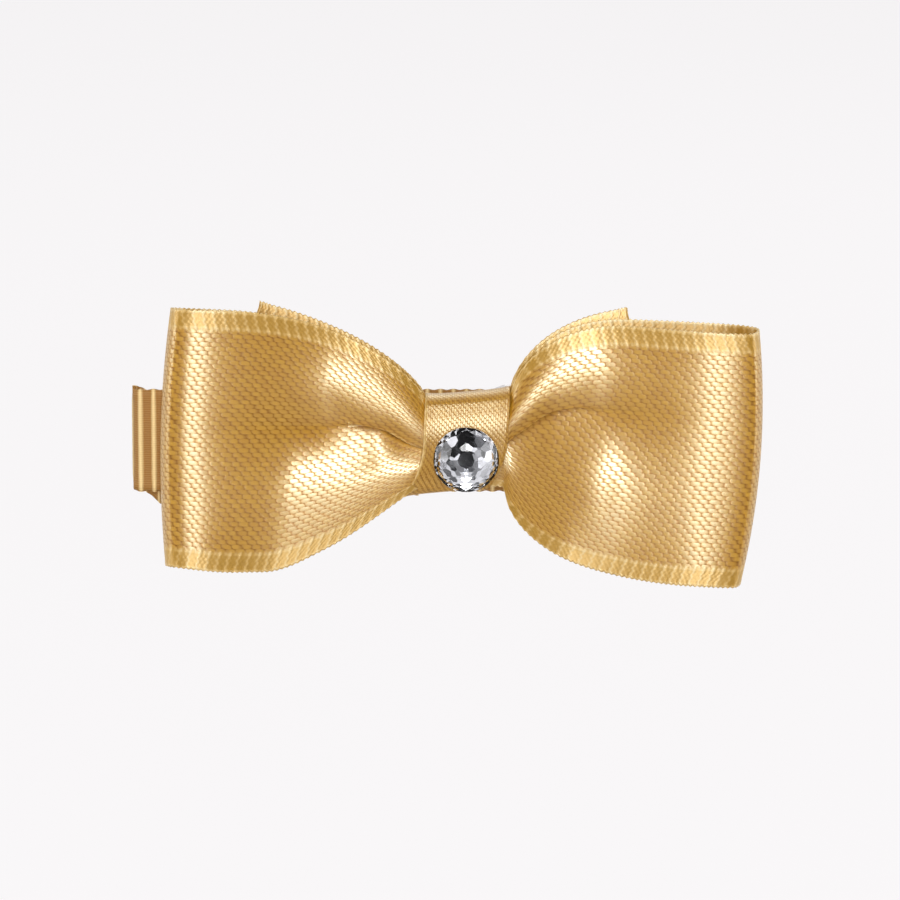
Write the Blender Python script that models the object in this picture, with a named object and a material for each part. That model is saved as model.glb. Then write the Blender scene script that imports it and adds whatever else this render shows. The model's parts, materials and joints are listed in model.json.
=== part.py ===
"""Rhinestone hair clip: a gold satin bow on a lined, sprung steel clip.

Metres, Z up as worn. The bow faces -Y, the jaw points to -X and the lever lies at +X.
The origin is the hair grip, on the lined face of the fixed jaw, halfway along it.
"""
import math

import bmesh
import bpy
from mathutils import Matrix, Vector

MM = 0.001

# Fixed jaw: a flat steel blade with two hinge ears
JAW_LENGTH = 29.5 * MM
HANDLE_LENGTH = 15.5 * MM
GRIP_TO_HINGE = 15.0 * MM
PLATE_THICK = 0.8 * MM
PLATE_WIDTH = 7.0 * MM
PLATE_TIP_WIDTH = 5.2 * MM
PLATE_TAPER = 11.0 * MM
PLATE_CORNER = 2.0 * MM
EAR_THICK = 0.7 * MM
EAR_BASE = 5.6 * MM
EAR_ROUND = 1.7 * MM

# Grosgrain lining round the fixed jaw
LINING_WIDTH = 9.9 * MM
LINING_THICK = 0.4 * MM
LINING_SLIP = 1.3 * MM
LINING_SLIP_END = 0.75 * MM
LINING_SLIP_RUN = 3.4 * MM
HANDLE_TUCK = 6.5 * MM
GLUE_FILM = 0.15 * MM

# Hinge pin and torsion spring
PIN_RADIUS = 0.75 * MM
PIN_CLEARANCE = 0.08 * MM
PIN_HEAD_RADIUS = 1.3 * MM
PIN_HEAD_THICK = 0.35 * MM
PIN_DEPTH = 2.2 * MM
WIRE_RADIUS = 0.35 * MM
COIL_RADIUS = 1.5 * MM
COIL_PITCH = 0.85 * MM
COIL_TURNS = 3
UPPER_LEG = 7.4 * MM
LOWER_LEG = 9.0 * MM

# Moving jaw: a bowed prong with teeth, ears and a flared lever
PRONG_THICK = 0.8 * MM
PRONG_GAP = 5.2 * MM
PRONG_WIDTH = 5.2 * MM
PRONG_ARCH = 0.4 * MM
PRONG_TIP_WIDTH = 4.4 * MM
PRONG_SHORTER = 1.2 * MM
TOOTH_GAP = 0.3 * MM
TOOTH_COUNT = 4
TOOTH_DEPTH = 1.1 * MM
LEVER_ANGLE = math.radians(22.0)
LEVER_WIDTH = 7.2 * MM
LEVER_BEND = 2.2 * MM
RUN_GAP = 0.2 * MM

# Satin bow: one strip folded into two loops with crossed tails
RIBBON_WIDTH = 24.3 * MM
RIBBON_THICK = 0.25 * MM
BOW_FROM_HINGE = 1.6 * MM
BOW_LIFT = 0.5 * MM
KNOT_RISE = 0.35 * MM
BOW_ROLL = math.radians(2.6)
LOOP_LEFT = 28.6 * MM
LOOP_RIGHT = 27.2 * MM
LOOP_BACK = 2.4 * MM
CREST_LEFT = 8.2 * MM
CREST_RIGHT = 8.0 * MM
LOOP_BULGE = 0.7 * MM
LEAN_LEFT = -0.2 * MM
LEAN_RIGHT = 0.22 * MM
BACK_SAG = 0.85 * MM
TAIL_LEFT = 20.8 * MM
TAIL_RIGHT = 15.4 * MM
TAIL_LEFT_RISE = 1.1 * MM
TAIL_RIGHT_RISE = 1.4 * MM
WAIST_HEIGHT = 7.0 * MM
WAIST_DEPTH = 4.1 * MM
LAYER_STEP = 0.75 * MM

# Run of each edge of the loops from the wrap to its full height
OPEN_LEFT_UP = 15.5 * MM
OPEN_LEFT_DOWN = 20.0 * MM
OPEN_LEFT_POWER = 0.82
OPEN_RIGHT_UP = 9.5 * MM
OPEN_RIGHT_DOWN = 18.5 * MM
OPEN_RIGHT_POWER = 0.54

# Shares of each loop's reach where its crest starts and where it turns into the fold
FLAT_LEFT = (0.86, 0.95)
FLAT_RIGHT = (0.81, 0.935)

# Lines along the front of each loop, in millimetres: where the line is full, how deep, where it
# starts to swell to the crest, and how hollow it is (0 to 1) between the wrap and its full depth
FRONT_LEFT = {"top": (7.0, 5.5, 11.5, 0.0), "upper": (6.2, 6.2, 13.3, 0.0), "valley": (5.0, 4.6, 8.0, 0.0),
              "lower": (5.4, 6.9, 15.5, 0.0), "bottom": (6.0, 6.4, 16.0, 0.0)}
FRONT_RIGHT = {"top": (8.0, 5.7, 11.5, 0.0), "upper": (6.3, 6.4, 12.0, 0.0), "valley": (5.0, 4.7, 7.0, 0.0),
               "lower": (13.5, 7.2, 14.5, 1.0), "bottom": (10.5, 6.5, 12.5, 0.7)}
WAIST_END = 1.2 * MM
HOLLOW_START = 3.5 * MM
FOLD_START = 8.0 * MM
FOLD_RUN = 6.0 * MM
SWELL_FIRM = 0.4

# Pleats: two lobes and a valley, nested at the waist
PLEAT_WAIST = 0.8 * MM
PLEAT_PEAK = 8.5 * MM
PLEAT_END = 20.0 * MM
PLEAT_EDGE = 0.3
PLEAT_POWER = 1.6
SPREAD_START = 3.0 * MM
SPREAD_RUN = 5.5 * MM
VALLEY_LEFT = 0.1
VALLEY_RIGHT = 0.32

# Knot: thread turns, satin wrap and the glue behind it
THREAD_RADIUS = 0.2 * MM
THREAD_TURNS = 3
THREAD_SPACE = 0.55 * MM
CORE_CLEAR_Z = 0.4 * MM
CORE_CLEAR_Y = 0.5 * MM
WRAP_THICK = 0.3 * MM
WRAP_LEFT = 4.1 * MM
WRAP_RIGHT = 3.9 * MM
WRAP_CLEAR = 0.1 * MM
WRAP_FLARE = 0.45 * MM
WRAP_LAP = 0.45 * MM
WRAP_TILT = math.radians(6.0)
KNOT_POWER = 3.2
GLUE_PAD_LENGTH = 5.4 * MM
GLUE_PAD_HEIGHT = 4.4 * MM

# Rhinestone: brilliant-cut glass on a foil back, in a dab of glue
STONE_DROP = 0.5 * MM
STONE_RADIUS = 3.1 * MM
STONE_TABLE = 1.7 * MM
STONE_CROWN = 1.4 * MM
STONE_GIRDLE = 0.25 * MM
STONE_PAVILION = 0.3 * MM
STONE_CULET = 0.6 * MM
FOIL_THICK = 0.1 * MM
STONE_GAP = 0.06 * MM
DAB_RADIUS = 2.7 * MM
DAB_THICK = 0.15 * MM

# Places that follow from the sizes
HINGE_X = GRIP_TO_HINGE
TIP_X = HINGE_X - JAW_LENGTH
HANDLE_X = HINGE_X + HANDLE_LENGTH
PLATE_BACK = -LINING_THICK - GLUE_FILM
PLATE_FRONT = PLATE_BACK - PLATE_THICK
LINING_FRONT = PLATE_FRONT - GLUE_FILM - LINING_THICK
PIN = Vector((HINGE_X, PIN_DEPTH, 0.0))
BOW_X = HINGE_X + BOW_FROM_HINGE
BOW = Vector((BOW_X, LINING_FRONT, 0.0))
STONE = Vector((BOW_X, LINING_FRONT, -STONE_DROP))
ROLL = Matrix.Rotation(BOW_ROLL, 3, "Y")
CORE_HALF_Z = 0.5 * WAIST_HEIGHT + CORE_CLEAR_Z
CORE_HALF_Y = LAYER_STEP + PLEAT_WAIST + CORE_CLEAR_Y
THREAD_HALF_Z = CORE_HALF_Z + THREAD_RADIUS
THREAD_HALF_Y = CORE_HALF_Y + THREAD_RADIUS
WRAP_HALF_Z = THREAD_HALF_Z + THREAD_RADIUS + WRAP_CLEAR + 0.5 * WRAP_THICK
WRAP_HALF_Y = THREAD_HALF_Y + THREAD_RADIUS + WRAP_CLEAR + 0.5 * WRAP_THICK
WRAP_FRONT = WAIST_DEPTH + WRAP_HALF_Y + 0.5 * WRAP_THICK
STONE_BACK = WRAP_FRONT + GLUE_FILM + DAB_THICK + 2.0 * STONE_GAP + FOIL_THICK


def clear_scene():
    for item in list(bpy.data.objects):
        bpy.data.objects.remove(item, do_unlink=True)


def material(name, colour, metallic, roughness):
    made = bpy.data.materials.new(name)
    made.use_nodes = True
    shader = made.node_tree.nodes["Principled BSDF"]
    shader.inputs["Base Color"].default_value = (*colour, 1.0)
    shader.inputs["Metallic"].default_value = metallic
    shader.inputs["Roughness"].default_value = roughness
    return made


def add_object(name, bm, look, origin=(0.0, 0.0, 0.0)):
    """Put a finished mesh into the scene with its origin at the given place."""
    bmesh.ops.translate(bm, verts=bm.verts, vec=-Vector(origin))
    mesh = bpy.data.meshes.new(name)
    bm.to_mesh(mesh)
    bm.free()
    item = bpy.data.objects.new(name, mesh)
    item.location = origin
    bpy.context.scene.collection.objects.link(item)
    if look is not None:
        mesh.materials.append(look)
    return item


def add_tool(name, bm, origin=(0.0, 0.0, 0.0)):
    """A hidden body that is only joined to or cut from another one."""
    item = add_object(name, bm, None, origin)
    item.hide_render = True
    item.display_type = "WIRE"
    return item


def boolean(item, tool, operation):
    step = item.modifiers.new(tool.name, "BOOLEAN")
    step.operation = operation
    step.solver = "EXACT"
    step.object = tool


def soften(item, width, segments=2):
    step = item.modifiers.new("edges", "BEVEL")
    step.width = width
    step.segments = segments
    step.limit_method = "ANGLE"
    step.angle_limit = math.radians(50.0)


def thicken(item, thickness):
    step = item.modifiers.new("thickness", "SOLIDIFY")
    step.thickness = thickness
    step.offset = 0.0
    step.use_even_offset = True


def sheet(rows):
    """A surface through rows of points, one quad between each four neighbours."""
    bm = bmesh.new()
    grid = [[bm.verts.new(point) for point in row] for row in rows]
    for near, far in zip(grid, grid[1:]):
        for side in range(len(near) - 1):
            bm.faces.new((near[side], far[side], far[side + 1], near[side + 1]))
    bm.normal_update()
    return bm


def prism(outline, low, high, plane):
    """Extrude a flat outline: plane "xy" rises along Z, plane "xz" along Y."""
    bm = bmesh.new()
    bottom = []
    for a, b in outline:
        place = (a, b, low) if plane == "xy" else (a, low, b)
        bottom.append(bm.verts.new(place))
    face = bm.faces.new(bottom)
    made = bmesh.ops.extrude_face_region(bm, geom=[face])
    rise = high - low
    step = Vector((0.0, 0.0, rise)) if plane == "xy" else Vector((0.0, rise, 0.0))
    moved = [part for part in made["geom"] if isinstance(part, bmesh.types.BMVert)]
    bmesh.ops.translate(bm, verts=moved, vec=step)
    bmesh.ops.recalc_face_normals(bm, faces=bm.faces)
    return bm


def join(first, second):
    """Copy the second mesh into the first one."""
    mesh = bpy.data.meshes.new("joined")
    second.to_mesh(mesh)
    second.free()
    first.from_mesh(mesh)
    bpy.data.meshes.remove(mesh)
    return first


def lathe(profile, centre, sides):
    """Turn a closed profile of (radius, forward) points about the line along -Y."""
    bm = bmesh.new()
    rings = []
    for radius, forward in profile:
        if radius < 1e-9:
            rings.append([bm.verts.new(centre + Vector((0.0, -forward, 0.0)))])
            continue
        ring = []
        for step in range(sides):
            turn = 2.0 * math.pi * step / sides
            offset = Vector((radius * math.cos(turn), -forward, radius * math.sin(turn)))
            ring.append(bm.verts.new(centre + offset))
        rings.append(ring)
    for near, far in zip(rings, rings[1:]):
        for step in range(sides):
            after = (step + 1) % sides
            corners = []
            for vert in (near[step % len(near)], near[after % len(near)]):
                if vert not in corners:
                    corners.append(vert)
            for vert in (far[after % len(far)], far[step % len(far)]):
                if vert not in corners:
                    corners.append(vert)
            bm.faces.new(corners)
    bmesh.ops.recalc_face_normals(bm, faces=bm.faces)
    return bm


def arc(centre, radius, start, end, steps):
    points = []
    for step in range(steps + 1):
        turn = start + (end - start) * step / steps
        points.append((centre[0] + radius * math.cos(turn), centre[1] + radius * math.sin(turn)))
    return points


def mix(first, second, share):
    return first + (second - first) * share


def smooth(share):
    share = min(max(share, 0.0), 1.0)
    return share * share * (3.0 - 2.0 * share)


def curve_points(points, steps):
    """Points of a smooth curve through the given ones, with a count for each span."""
    made = []
    last = len(points) - 1
    for span in range(last):
        before = points[max(span - 1, 0)]
        start = points[span]
        end = points[span + 1]
        after = points[min(span + 2, last)]
        for step in range(steps[span]):
            t = step / steps[span]
            place = []
            for a, b, c, d in zip(before, start, end, after):
                value = 2.0 * b + (c - a) * t
                value += (2.0 * a - 5.0 * b + 4.0 * c - d) * t * t
                value += (3.0 * b - a - 3.0 * c + d) * t * t * t
                place.append(0.5 * value)
            made.append(tuple(place))
    made.append(tuple(points[last]))
    return made


def wire(name, points, radius, look):
    """A round wire along points, with closed ends."""
    curve = bpy.data.curves.new(name, "CURVE")
    curve.dimensions = "3D"
    curve.bevel_depth = radius
    curve.bevel_resolution = 2
    curve.use_fill_caps = True
    spline = curve.splines.new("POLY")
    spline.points.add(len(points) - 1)
    for point, place in zip(spline.points, points):
        point.co = (*place, 1.0)
    item = bpy.data.objects.new(name, curve)
    bpy.context.scene.collection.objects.link(item)
    curve.materials.append(look)
    return item


def ear_outline(base, base_y, radius):
    """Side view of a hinge ear: a wide foot that narrows to a round end at the pin."""
    turn = 0.5 * math.pi if base_y < PIN.y else -0.5 * math.pi
    points = [(PIN.x - 0.5 * base, base_y)]
    points += arc((PIN.x, PIN.y), radius, turn + math.copysign(1.45, turn),
                  turn - math.copysign(1.45, turn), 14)
    points.append((PIN.x + 0.5 * base, base_y))
    return points


def both_ears(outline, outer, thick):
    """Two mirrored ears with their outer faces at plus and minus outer."""
    upper = prism(outline, outer - thick, outer, "xy")
    return join(upper, prism(outline, -outer, thick - outer, "xy"))


def pin_cutter(name):
    radius = PIN_RADIUS + PIN_CLEARANCE
    outline = arc((PIN.x, PIN.y), radius, 0.0, 2.0 * math.pi, 28)[:-1]
    return add_tool(name, prism(outline, -PLATE_WIDTH, PLATE_WIDTH, "xy"))


def build_upper_jaw(look):
    half = 0.5 * PLATE_WIDTH
    tip = 0.5 * PLATE_TIP_WIDTH
    round_end = arc((HANDLE_X - PLATE_CORNER, half - PLATE_CORNER), PLATE_CORNER,
                    0.0, 0.5 * math.pi, 6)
    round_tip = arc((TIP_X + tip, 0.0), tip, 0.5 * math.pi, math.pi, 8)
    side = round_end + [(TIP_X + PLATE_TAPER, half)] + round_tip
    outline = side + [(x, -z) for x, z in reversed(side[:-1])]
    jaw = add_object("upper_jaw", prism(outline, PLATE_FRONT, PLATE_BACK, "xz"), look)
    ears = ear_outline(EAR_BASE, PLATE_FRONT + 0.3 * PLATE_THICK, EAR_ROUND)
    boolean(jaw, add_tool("upper_ears", both_ears(ears, half, EAR_THICK)), "UNION")
    boolean(jaw, pin_cutter("upper_pin_hole"), "DIFFERENCE")
    soften(jaw, 0.12 * MM, 1)


def lining_rows():
    """Strip round the fixed jaw: under the jaw, round its tip, along the front, round the handle."""
    inner = -0.5 * LINING_THICK
    outer = LINING_FRONT + 0.5 * LINING_THICK
    radius = 0.5 * (inner - outer)
    middle = 0.5 * (inner + outer)
    start = HINGE_X - 0.5 * EAR_BASE - RUN_GAP
    under = [(mix(TIP_X, start, share), inner) for share in (1.0, 0.5, 0.2, 0.12, 0.08, 0.04)]
    tip = arc((TIP_X, middle), radius, 0.5 * math.pi, 1.5 * math.pi, 10)
    handle = arc((HANDLE_X, middle), radius, -0.5 * math.pi, 0.5 * math.pi, 10)
    path = under + tip + handle + [(HANDLE_X - HANDLE_TUCK, inner)]
    rows = []
    for number, (x, y) in enumerate(path):
        along = 0.5 * math.pi * radius + x - TIP_X
        if number >= len(under):
            turned = 0.5 - 0.1 * (number - len(under))
            along = max(turned * math.pi * radius, 0.0)
        slip = mix(LINING_SLIP, LINING_SLIP_END, along / JAW_LENGTH)
        slip *= -smooth(along / LINING_SLIP_RUN)
        rows.append([(x, y, slip - 0.5 * LINING_WIDTH), (x, y, slip + 0.5 * LINING_WIDTH)])
    return rows


def build_lining(look):
    lining = add_object("jaw_lining", sheet(lining_rows()), look)
    thicken(lining, LINING_THICK)


def prong_rows():
    """Moving jaw as a thin sheet: each row is a place on the side view with its half width."""
    tip_x = TIP_X + PRONG_SHORTER
    half = 0.5 * PRONG_THICK
    base = PRONG_GAP + half
    span = HINGE_X - 3.0 * MM - tip_x
    lip = TOOTH_GAP + 0.15 * MM
    bow = [(tip_x, lip), (tip_x + 0.7 * MM, mix(lip, base, 0.19)),
           (tip_x + 1.6 * MM, mix(lip, base, 0.28)),
           (tip_x + 0.30 * span, mix(lip, base, 0.63)),
           (tip_x + 0.62 * span, mix(lip, base, 0.9)), (tip_x + span, base)]
    places = curve_points(bow, [1, 2, 4, 4, 4])
    bend = HINGE_X + LEVER_BEND
    slope = math.tan(LEVER_ANGLE)
    end = HANDLE_X + 0.3 * MM
    places += [(bend - 0.5 * MM, base), (bend + 0.4 * MM, base + 0.14 * MM)]
    flat = [bend + 1.4 * MM, bend + 3.2 * MM, end - 2.6 * MM, end - 1.6 * MM]
    flat += [end - 0.8 * MM, end - 0.25 * MM, end]
    places += [(x, base + (x - bend) * slope) for x in flat]
    rows = []
    for x, y in places:
        arch = 0.0
        if x < HINGE_X:
            share = (x - tip_x) / span
            wide = mix(PRONG_TIP_WIDTH, PRONG_WIDTH, smooth(share))
            arch = PRONG_ARCH * smooth(4.0 * share) * smooth(4.0 - 4.0 * share)
        else:
            wide = mix(PRONG_WIDTH, LEVER_WIDTH, smooth((x - bend) / (3.0 * MM)))
        if x > end - 2.0 * MM:
            share = (x - end + 2.0 * MM) / (2.0 * MM)
            wide -= 4.0 * MM * (1.0 - math.sqrt(max(1.0 - share * share, 0.0)))
        sides = (-1.0, -0.5, 0.0, 0.5, 1.0)
        rows.append([(x, y + arch * (1.0 - side * side), 0.5 * wide * side) for side in sides])
    return rows


def tooth_notches():
    """V-shaped cuts through the turned-in lip, which leave pointed teeth."""
    tip_x = TIP_X + PRONG_SHORTER
    pitch = PRONG_TIP_WIDTH / TOOTH_COUNT
    notches = bmesh.new()
    for number in range(TOOTH_COUNT - 1):
        z = (number + 1) * pitch - 0.5 * PRONG_TIP_WIDTH
        open_end = tip_x - 0.25 * TOOTH_DEPTH
        spread = 0.46 * pitch
        outline = [(open_end, z - spread), (tip_x + TOOTH_DEPTH, z - 0.08 * pitch)]
        outline += [(tip_x + TOOTH_DEPTH, z + 0.08 * pitch), (open_end, z + spread)]
        join(notches, prism(outline, -1.0 * MM, 3.0 * MM, "xz"))
    return notches


def build_lower_jaw(look):
    jaw = add_object("lower_jaw", sheet(prong_rows()), look, PIN)
    thicken(jaw, PRONG_THICK)
    outer = 0.5 * PLATE_WIDTH - EAR_THICK - RUN_GAP
    ears = ear_outline(EAR_BASE - 1.2 * MM, PRONG_GAP + 0.6 * PRONG_THICK, EAR_ROUND - 0.2 * MM)
    boolean(jaw, add_tool("lower_ears", both_ears(ears, outer, EAR_THICK)), "UNION")
    boolean(jaw, pin_cutter("lower_pin_hole"), "DIFFERENCE")
    boolean(jaw, add_tool("tooth_notches", tooth_notches()), "DIFFERENCE")
    soften(jaw, 0.1 * MM, 1)


def build_pin(look):
    outer = 0.5 * PLATE_WIDTH + 0.1 * MM
    top = outer + PIN_HEAD_THICK
    dome = 0.7 * PIN_HEAD_RADIUS
    profile = [(0.0, -top), (dome, -top), (PIN_HEAD_RADIUS, -outer - 0.4 * PIN_HEAD_THICK)]
    profile += [(PIN_HEAD_RADIUS, -outer), (PIN_RADIUS, -outer), (PIN_RADIUS, outer)]
    profile += [(PIN_HEAD_RADIUS, outer), (PIN_HEAD_RADIUS, outer + 0.4 * PIN_HEAD_THICK)]
    profile += [(dome, top), (0.0, top)]
    bm = lathe(profile, Vector((0.0, 0.0, 0.0)), 28)
    bmesh.ops.rotate(bm, verts=bm.verts, matrix=Matrix.Rotation(0.5 * math.pi, 3, "X"))
    bmesh.ops.translate(bm, verts=bm.verts, vec=PIN)
    add_object("hinge_pin", bm, look, PIN)


def spring_points():
    """Coil round the pin with one leg on each handle, both leaving along tangents."""
    clear = WIRE_RADIUS + 0.1 * MM
    upper = math.hypot(UPPER_LEG, COIL_RADIUS)
    first = math.asin((PLATE_BACK + clear - PIN.y) / upper) + math.atan2(COIL_RADIUS, UPPER_LEG)
    rise = PRONG_GAP - PIN.y
    away = rise * math.cos(LEVER_ANGLE) - LEVER_BEND * math.sin(LEVER_ANGLE) - clear
    lower = math.hypot(LOWER_LEG, COIL_RADIUS)
    last = LEVER_ANGLE + math.asin(away / lower) - math.atan2(COIL_RADIUS, LOWER_LEG)
    start = first - 0.5 * math.pi
    end = 0.5 * math.pi + last - 2.0 * math.pi * COIL_TURNS
    width = COIL_PITCH * (start - end) / (2.0 * math.pi)
    points = []
    for step in range(4):
        reach = UPPER_LEG * (1.0 - step / 4.0)
        x = COIL_RADIUS * math.cos(start) + reach * math.cos(first)
        y = COIL_RADIUS * math.sin(start) + reach * math.sin(first)
        points.append((PIN.x + x, PIN.y + y, -0.5 * width))
    count = 18 * COIL_TURNS
    for step in range(count + 1):
        share = step / count
        turn = mix(start, end, share)
        place = (COIL_RADIUS * math.cos(turn), COIL_RADIUS * math.sin(turn))
        points.append((PIN.x + place[0], PIN.y + place[1], (share - 0.5) * width))
    for step in range(1, 5):
        reach = LOWER_LEG * step / 4.0
        x = COIL_RADIUS * math.cos(end) + reach * math.cos(last)
        y = COIL_RADIUS * math.sin(end) + reach * math.sin(last)
        points.append((PIN.x + x, PIN.y + y, 0.5 * width))
    return points


def bow_place(along, forward, up):
    """A place on the bow, which sits on the clip with a slight roll."""
    return BOW + ROLL @ Vector((along, -forward, up))


def half_loop(right, edge, layer):
    """Half the bow on one side, from the waist at the back, round the fold, to the front waist."""
    reach = LOOP_RIGHT if right else LOOP_LEFT
    crest = CREST_RIGHT if right else CREST_LEFT
    flat, turn = FLAT_RIGHT if right else FLAT_LEFT
    behind = WAIST_DEPTH + layer * LAYER_STEP
    front = WAIST_DEPTH + LAYER_STEP
    back = LOOP_BACK + 0.25 * min(layer, 0) * MM
    room = crest - back
    points = [(edge, mix(behind, back, 0.25)), (mix(edge, reach, 0.14), mix(behind, back, 0.55)),
              (mix(edge, reach, 0.36), mix(behind, back, 0.9)), (0.72 * reach, back),
              (0.90 * reach, back + 0.06 * room), (0.98 * reach, back + 0.22 * room),
              (reach, back + 0.5 * room), (mix(turn, 1.0, 0.75) * reach, crest - 0.16 * room),
              (mix(turn, 1.0, 0.2) * reach, crest - 0.02 * room), (flat * reach, crest)]
    rise = ((0.85 * flat, 0.9), (0.6, 0.5), (0.5, 0.34), (0.25, 0.15))
    points += [(share * reach, mix(front, crest, height)) for share, height in rise]
    return points + [(edge, mix(front, crest, 0.05))]


def bow_path():
    """The strip from the side: left tail, right loop, left loop, right tail.

    Each place is (along, depth, front, rise): front is 1 on the shown layer and 0 behind it,
    and rise lifts the tails and lets the back of the left loop sag.
    """
    inner = WAIST_DEPTH
    outer = WAIST_DEPTH - LAYER_STEP
    low = 1.0 * MM
    path = [(-TAIL_LEFT, inner - 0.2 * MM, 0.0, TAIL_LEFT_RISE)]
    path.append((mix(-WRAP_LEFT, -TAIL_LEFT, 0.55), inner - 0.5 * MM, 0.0, 0.1 * TAIL_LEFT_RISE))
    path += [(-WRAP_LEFT, inner - 0.1 * MM, 0.0, 0.0), (0.0, inner, 0.0, 0.0)]
    for place, (x, depth) in enumerate(half_loop(True, WRAP_RIGHT, 0)):
        path.append((x, depth, 0.0 if place < 6 else 1.0, 0.0))
    path.append((0.0, WAIST_DEPTH + LAYER_STEP, 1.0, 0.0))
    left = list(reversed(half_loop(False, WRAP_LEFT, -1)))
    for place, (x, depth) in enumerate(left):
        front = 1.0 if place < len(left) - 6 else 0.0
        sag = (1.0 - front) * smooth(1.4 * x / LOOP_LEFT)
        if x > 0.85 * LOOP_LEFT:
            sag = (CREST_LEFT - depth) / (CREST_LEFT - LOOP_BACK)
        path.append((-x, depth, front, -BACK_SAG * sag))
    path += [(0.0, outer, 0.0, 0.0), (WRAP_RIGHT, mix(outer, low, 0.3), 0.0, 0.0)]
    path.append((mix(WRAP_RIGHT, TAIL_RIGHT, 0.5), mix(outer, low, 0.85), 0.0, 0.25 * TAIL_RIGHT_RISE))
    path.append((TAIL_RIGHT, low, 0.0, TAIL_RIGHT_RISE))
    return path


def edge_height(away, run, power):
    """Height of one edge of the strip above the middle of the bow, away from the wrap."""
    share = min(max(away / run, 0.0), 1.0) ** power
    return 0.5 * mix(WAIST_HEIGHT, RIBBON_WIDTH, math.sin(0.5 * math.pi * share))


def front_depth(line, away, start, crest_away, crest):
    """Depth of one line of the front: from the wrap up to its plateau, then up to the crest."""
    full, plateau, hold = (part * MM for part in line[:3])
    if away < full:
        left = 1.0 - min(max((away - WAIST_END) / (full - WAIST_END), 0.0), 1.0)
        late = smooth((away - HOLLOW_START) / (full - HOLLOW_START))
        return mix(start, plateau, mix(1.0 - left * left, late, line[3]))
    share = min(max((away - hold) / (crest_away - hold), 0.0), 1.0)
    return mix(plateau, crest, mix(smooth(share), share, SWELL_FIRM))


def front_lines(away, right):
    """Depths of the five lines of the front at a distance from the knot."""
    crest_away = FLAT_RIGHT[0] * LOOP_RIGHT if right else FLAT_LEFT[0] * LOOP_LEFT
    crest = CREST_RIGHT if right else CREST_LEFT
    base = WAIST_DEPTH + LAYER_STEP
    edge = base - PLEAT_EDGE * PLEAT_WAIST
    starts = {"top": edge, "upper": base + PLEAT_WAIST, "valley": base - PLEAT_WAIST,
              "lower": base + PLEAT_WAIST, "bottom": edge}
    lines = FRONT_RIGHT if right else FRONT_LEFT
    return {name: front_depth(lines[name], away, starts[name], crest_away, crest) for name in lines}


def front_form(lines, across, fold):
    """Depth across the front: two round lobes, a sharp crease between them, and receding edges."""
    upper = across > 0.0
    if abs(across) < 0.5:
        end = lines["valley"]
        power = mix(1.8, 3.6, fold) if upper else 1.9
    else:
        end = lines["top" if upper else "bottom"]
        power = PLEAT_POWER
    return mix(lines["upper" if upper else "lower"], end, abs(1.0 - 2.0 * abs(across)) ** power)


def pleat_behind(away, across):
    """Depth of the nested pleats behind the front: two lobes with a valley, flat further out."""
    height = PLEAT_WAIST * (1.0 - smooth((away - PLEAT_PEAK) / (PLEAT_END - PLEAT_PEAK)))
    low = 2.0 if abs(across) < 0.5 else 1.0 + PLEAT_EDGE
    return height * (1.0 - low * abs(1.0 - 2.0 * abs(across)) ** PLEAT_POWER)


def bow_rows():
    path = bow_path()
    steps = [4 if abs(abs(a[0]) - WRAP_LEFT) < 1.0 * MM else 3 for a in path[:-1]]
    rows = []
    for x, depth, front, rise in curve_points(path, steps):
        right = x > 0.0
        front = min(max(front, 0.0), 1.0)
        out = abs(x) - (WRAP_RIGHT if right else WRAP_LEFT)
        if right:
            up = edge_height(out, OPEN_RIGHT_UP, OPEN_RIGHT_POWER)
            down = edge_height(out, OPEN_RIGHT_DOWN, OPEN_RIGHT_POWER)
        else:
            up = edge_height(out, OPEN_LEFT_UP, OPEN_LEFT_POWER)
            down = edge_height(out, OPEN_LEFT_DOWN, OPEN_LEFT_POWER)
        spread = smooth((abs(x) - SPREAD_START) / SPREAD_RUN)
        middle = spread * (VALLEY_RIGHT if right else VALLEY_LEFT)
        reach = LOOP_RIGHT if right else LOOP_LEFT
        shown = front > 0.999 and abs(x) < reach * (FLAT_RIGHT if right else FLAT_LEFT)[0]
        outward = smooth((abs(x) / reach - 0.7) / 0.3)
        lean = outward * (LEAN_RIGHT if right else LEAN_LEFT)
        bulge = math.copysign(outward * LOOP_BULGE, x)
        lift = rise + mix(KNOT_RISE, BOW_LIFT, spread)
        lines = front_lines(abs(x), right)
        fold = 1.0 - smooth((abs(x) - FOLD_START) / FOLD_RUN)
        row = []
        for step in range(13):
            across = step / 6.0 - 1.0
            side = middle + across * (1.0 - math.copysign(middle, across))
            height = side * (up if side > 0.0 else down) + lift
            along = x + bulge * (0.5 - side * side) + lean * side
            forward = depth + (1.0 - front) * pleat_behind(abs(x), across)
            if shown:
                forward = front_form(lines, across, fold)
            row.append(bow_place(along, forward, height))
        rows.append(row)
    return rows


def build_bow(look):
    bow = add_object("bow_ribbon", sheet(bow_rows()), look)
    thicken(bow, RIBBON_THICK)


def knot_ring(turn, half_z, half_y):
    """A place on the rounded ring round the waist, as (forward, up)."""
    power = 2.0 / KNOT_POWER
    c = math.cos(turn)
    s = math.sin(turn)
    forward = WAIST_DEPTH + half_y * math.copysign(abs(c) ** power, c)
    return forward, half_z * math.copysign(abs(s) ** power, s)


def build_thread(look):
    points = []
    count = 20 * THREAD_TURNS
    for step in range(count + 1):
        share = step / count
        turn = math.pi + 2.0 * math.pi * THREAD_TURNS * share
        forward, up = knot_ring(turn, THREAD_HALF_Z, THREAD_HALF_Y)
        along = (share - 0.5) * THREAD_SPACE * THREAD_TURNS
        points.append(bow_place(along, forward, up + KNOT_RISE))
    item = wire("waist_thread", points, THREAD_RADIUS, look)
    item.data.bevel_resolution = 1


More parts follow.
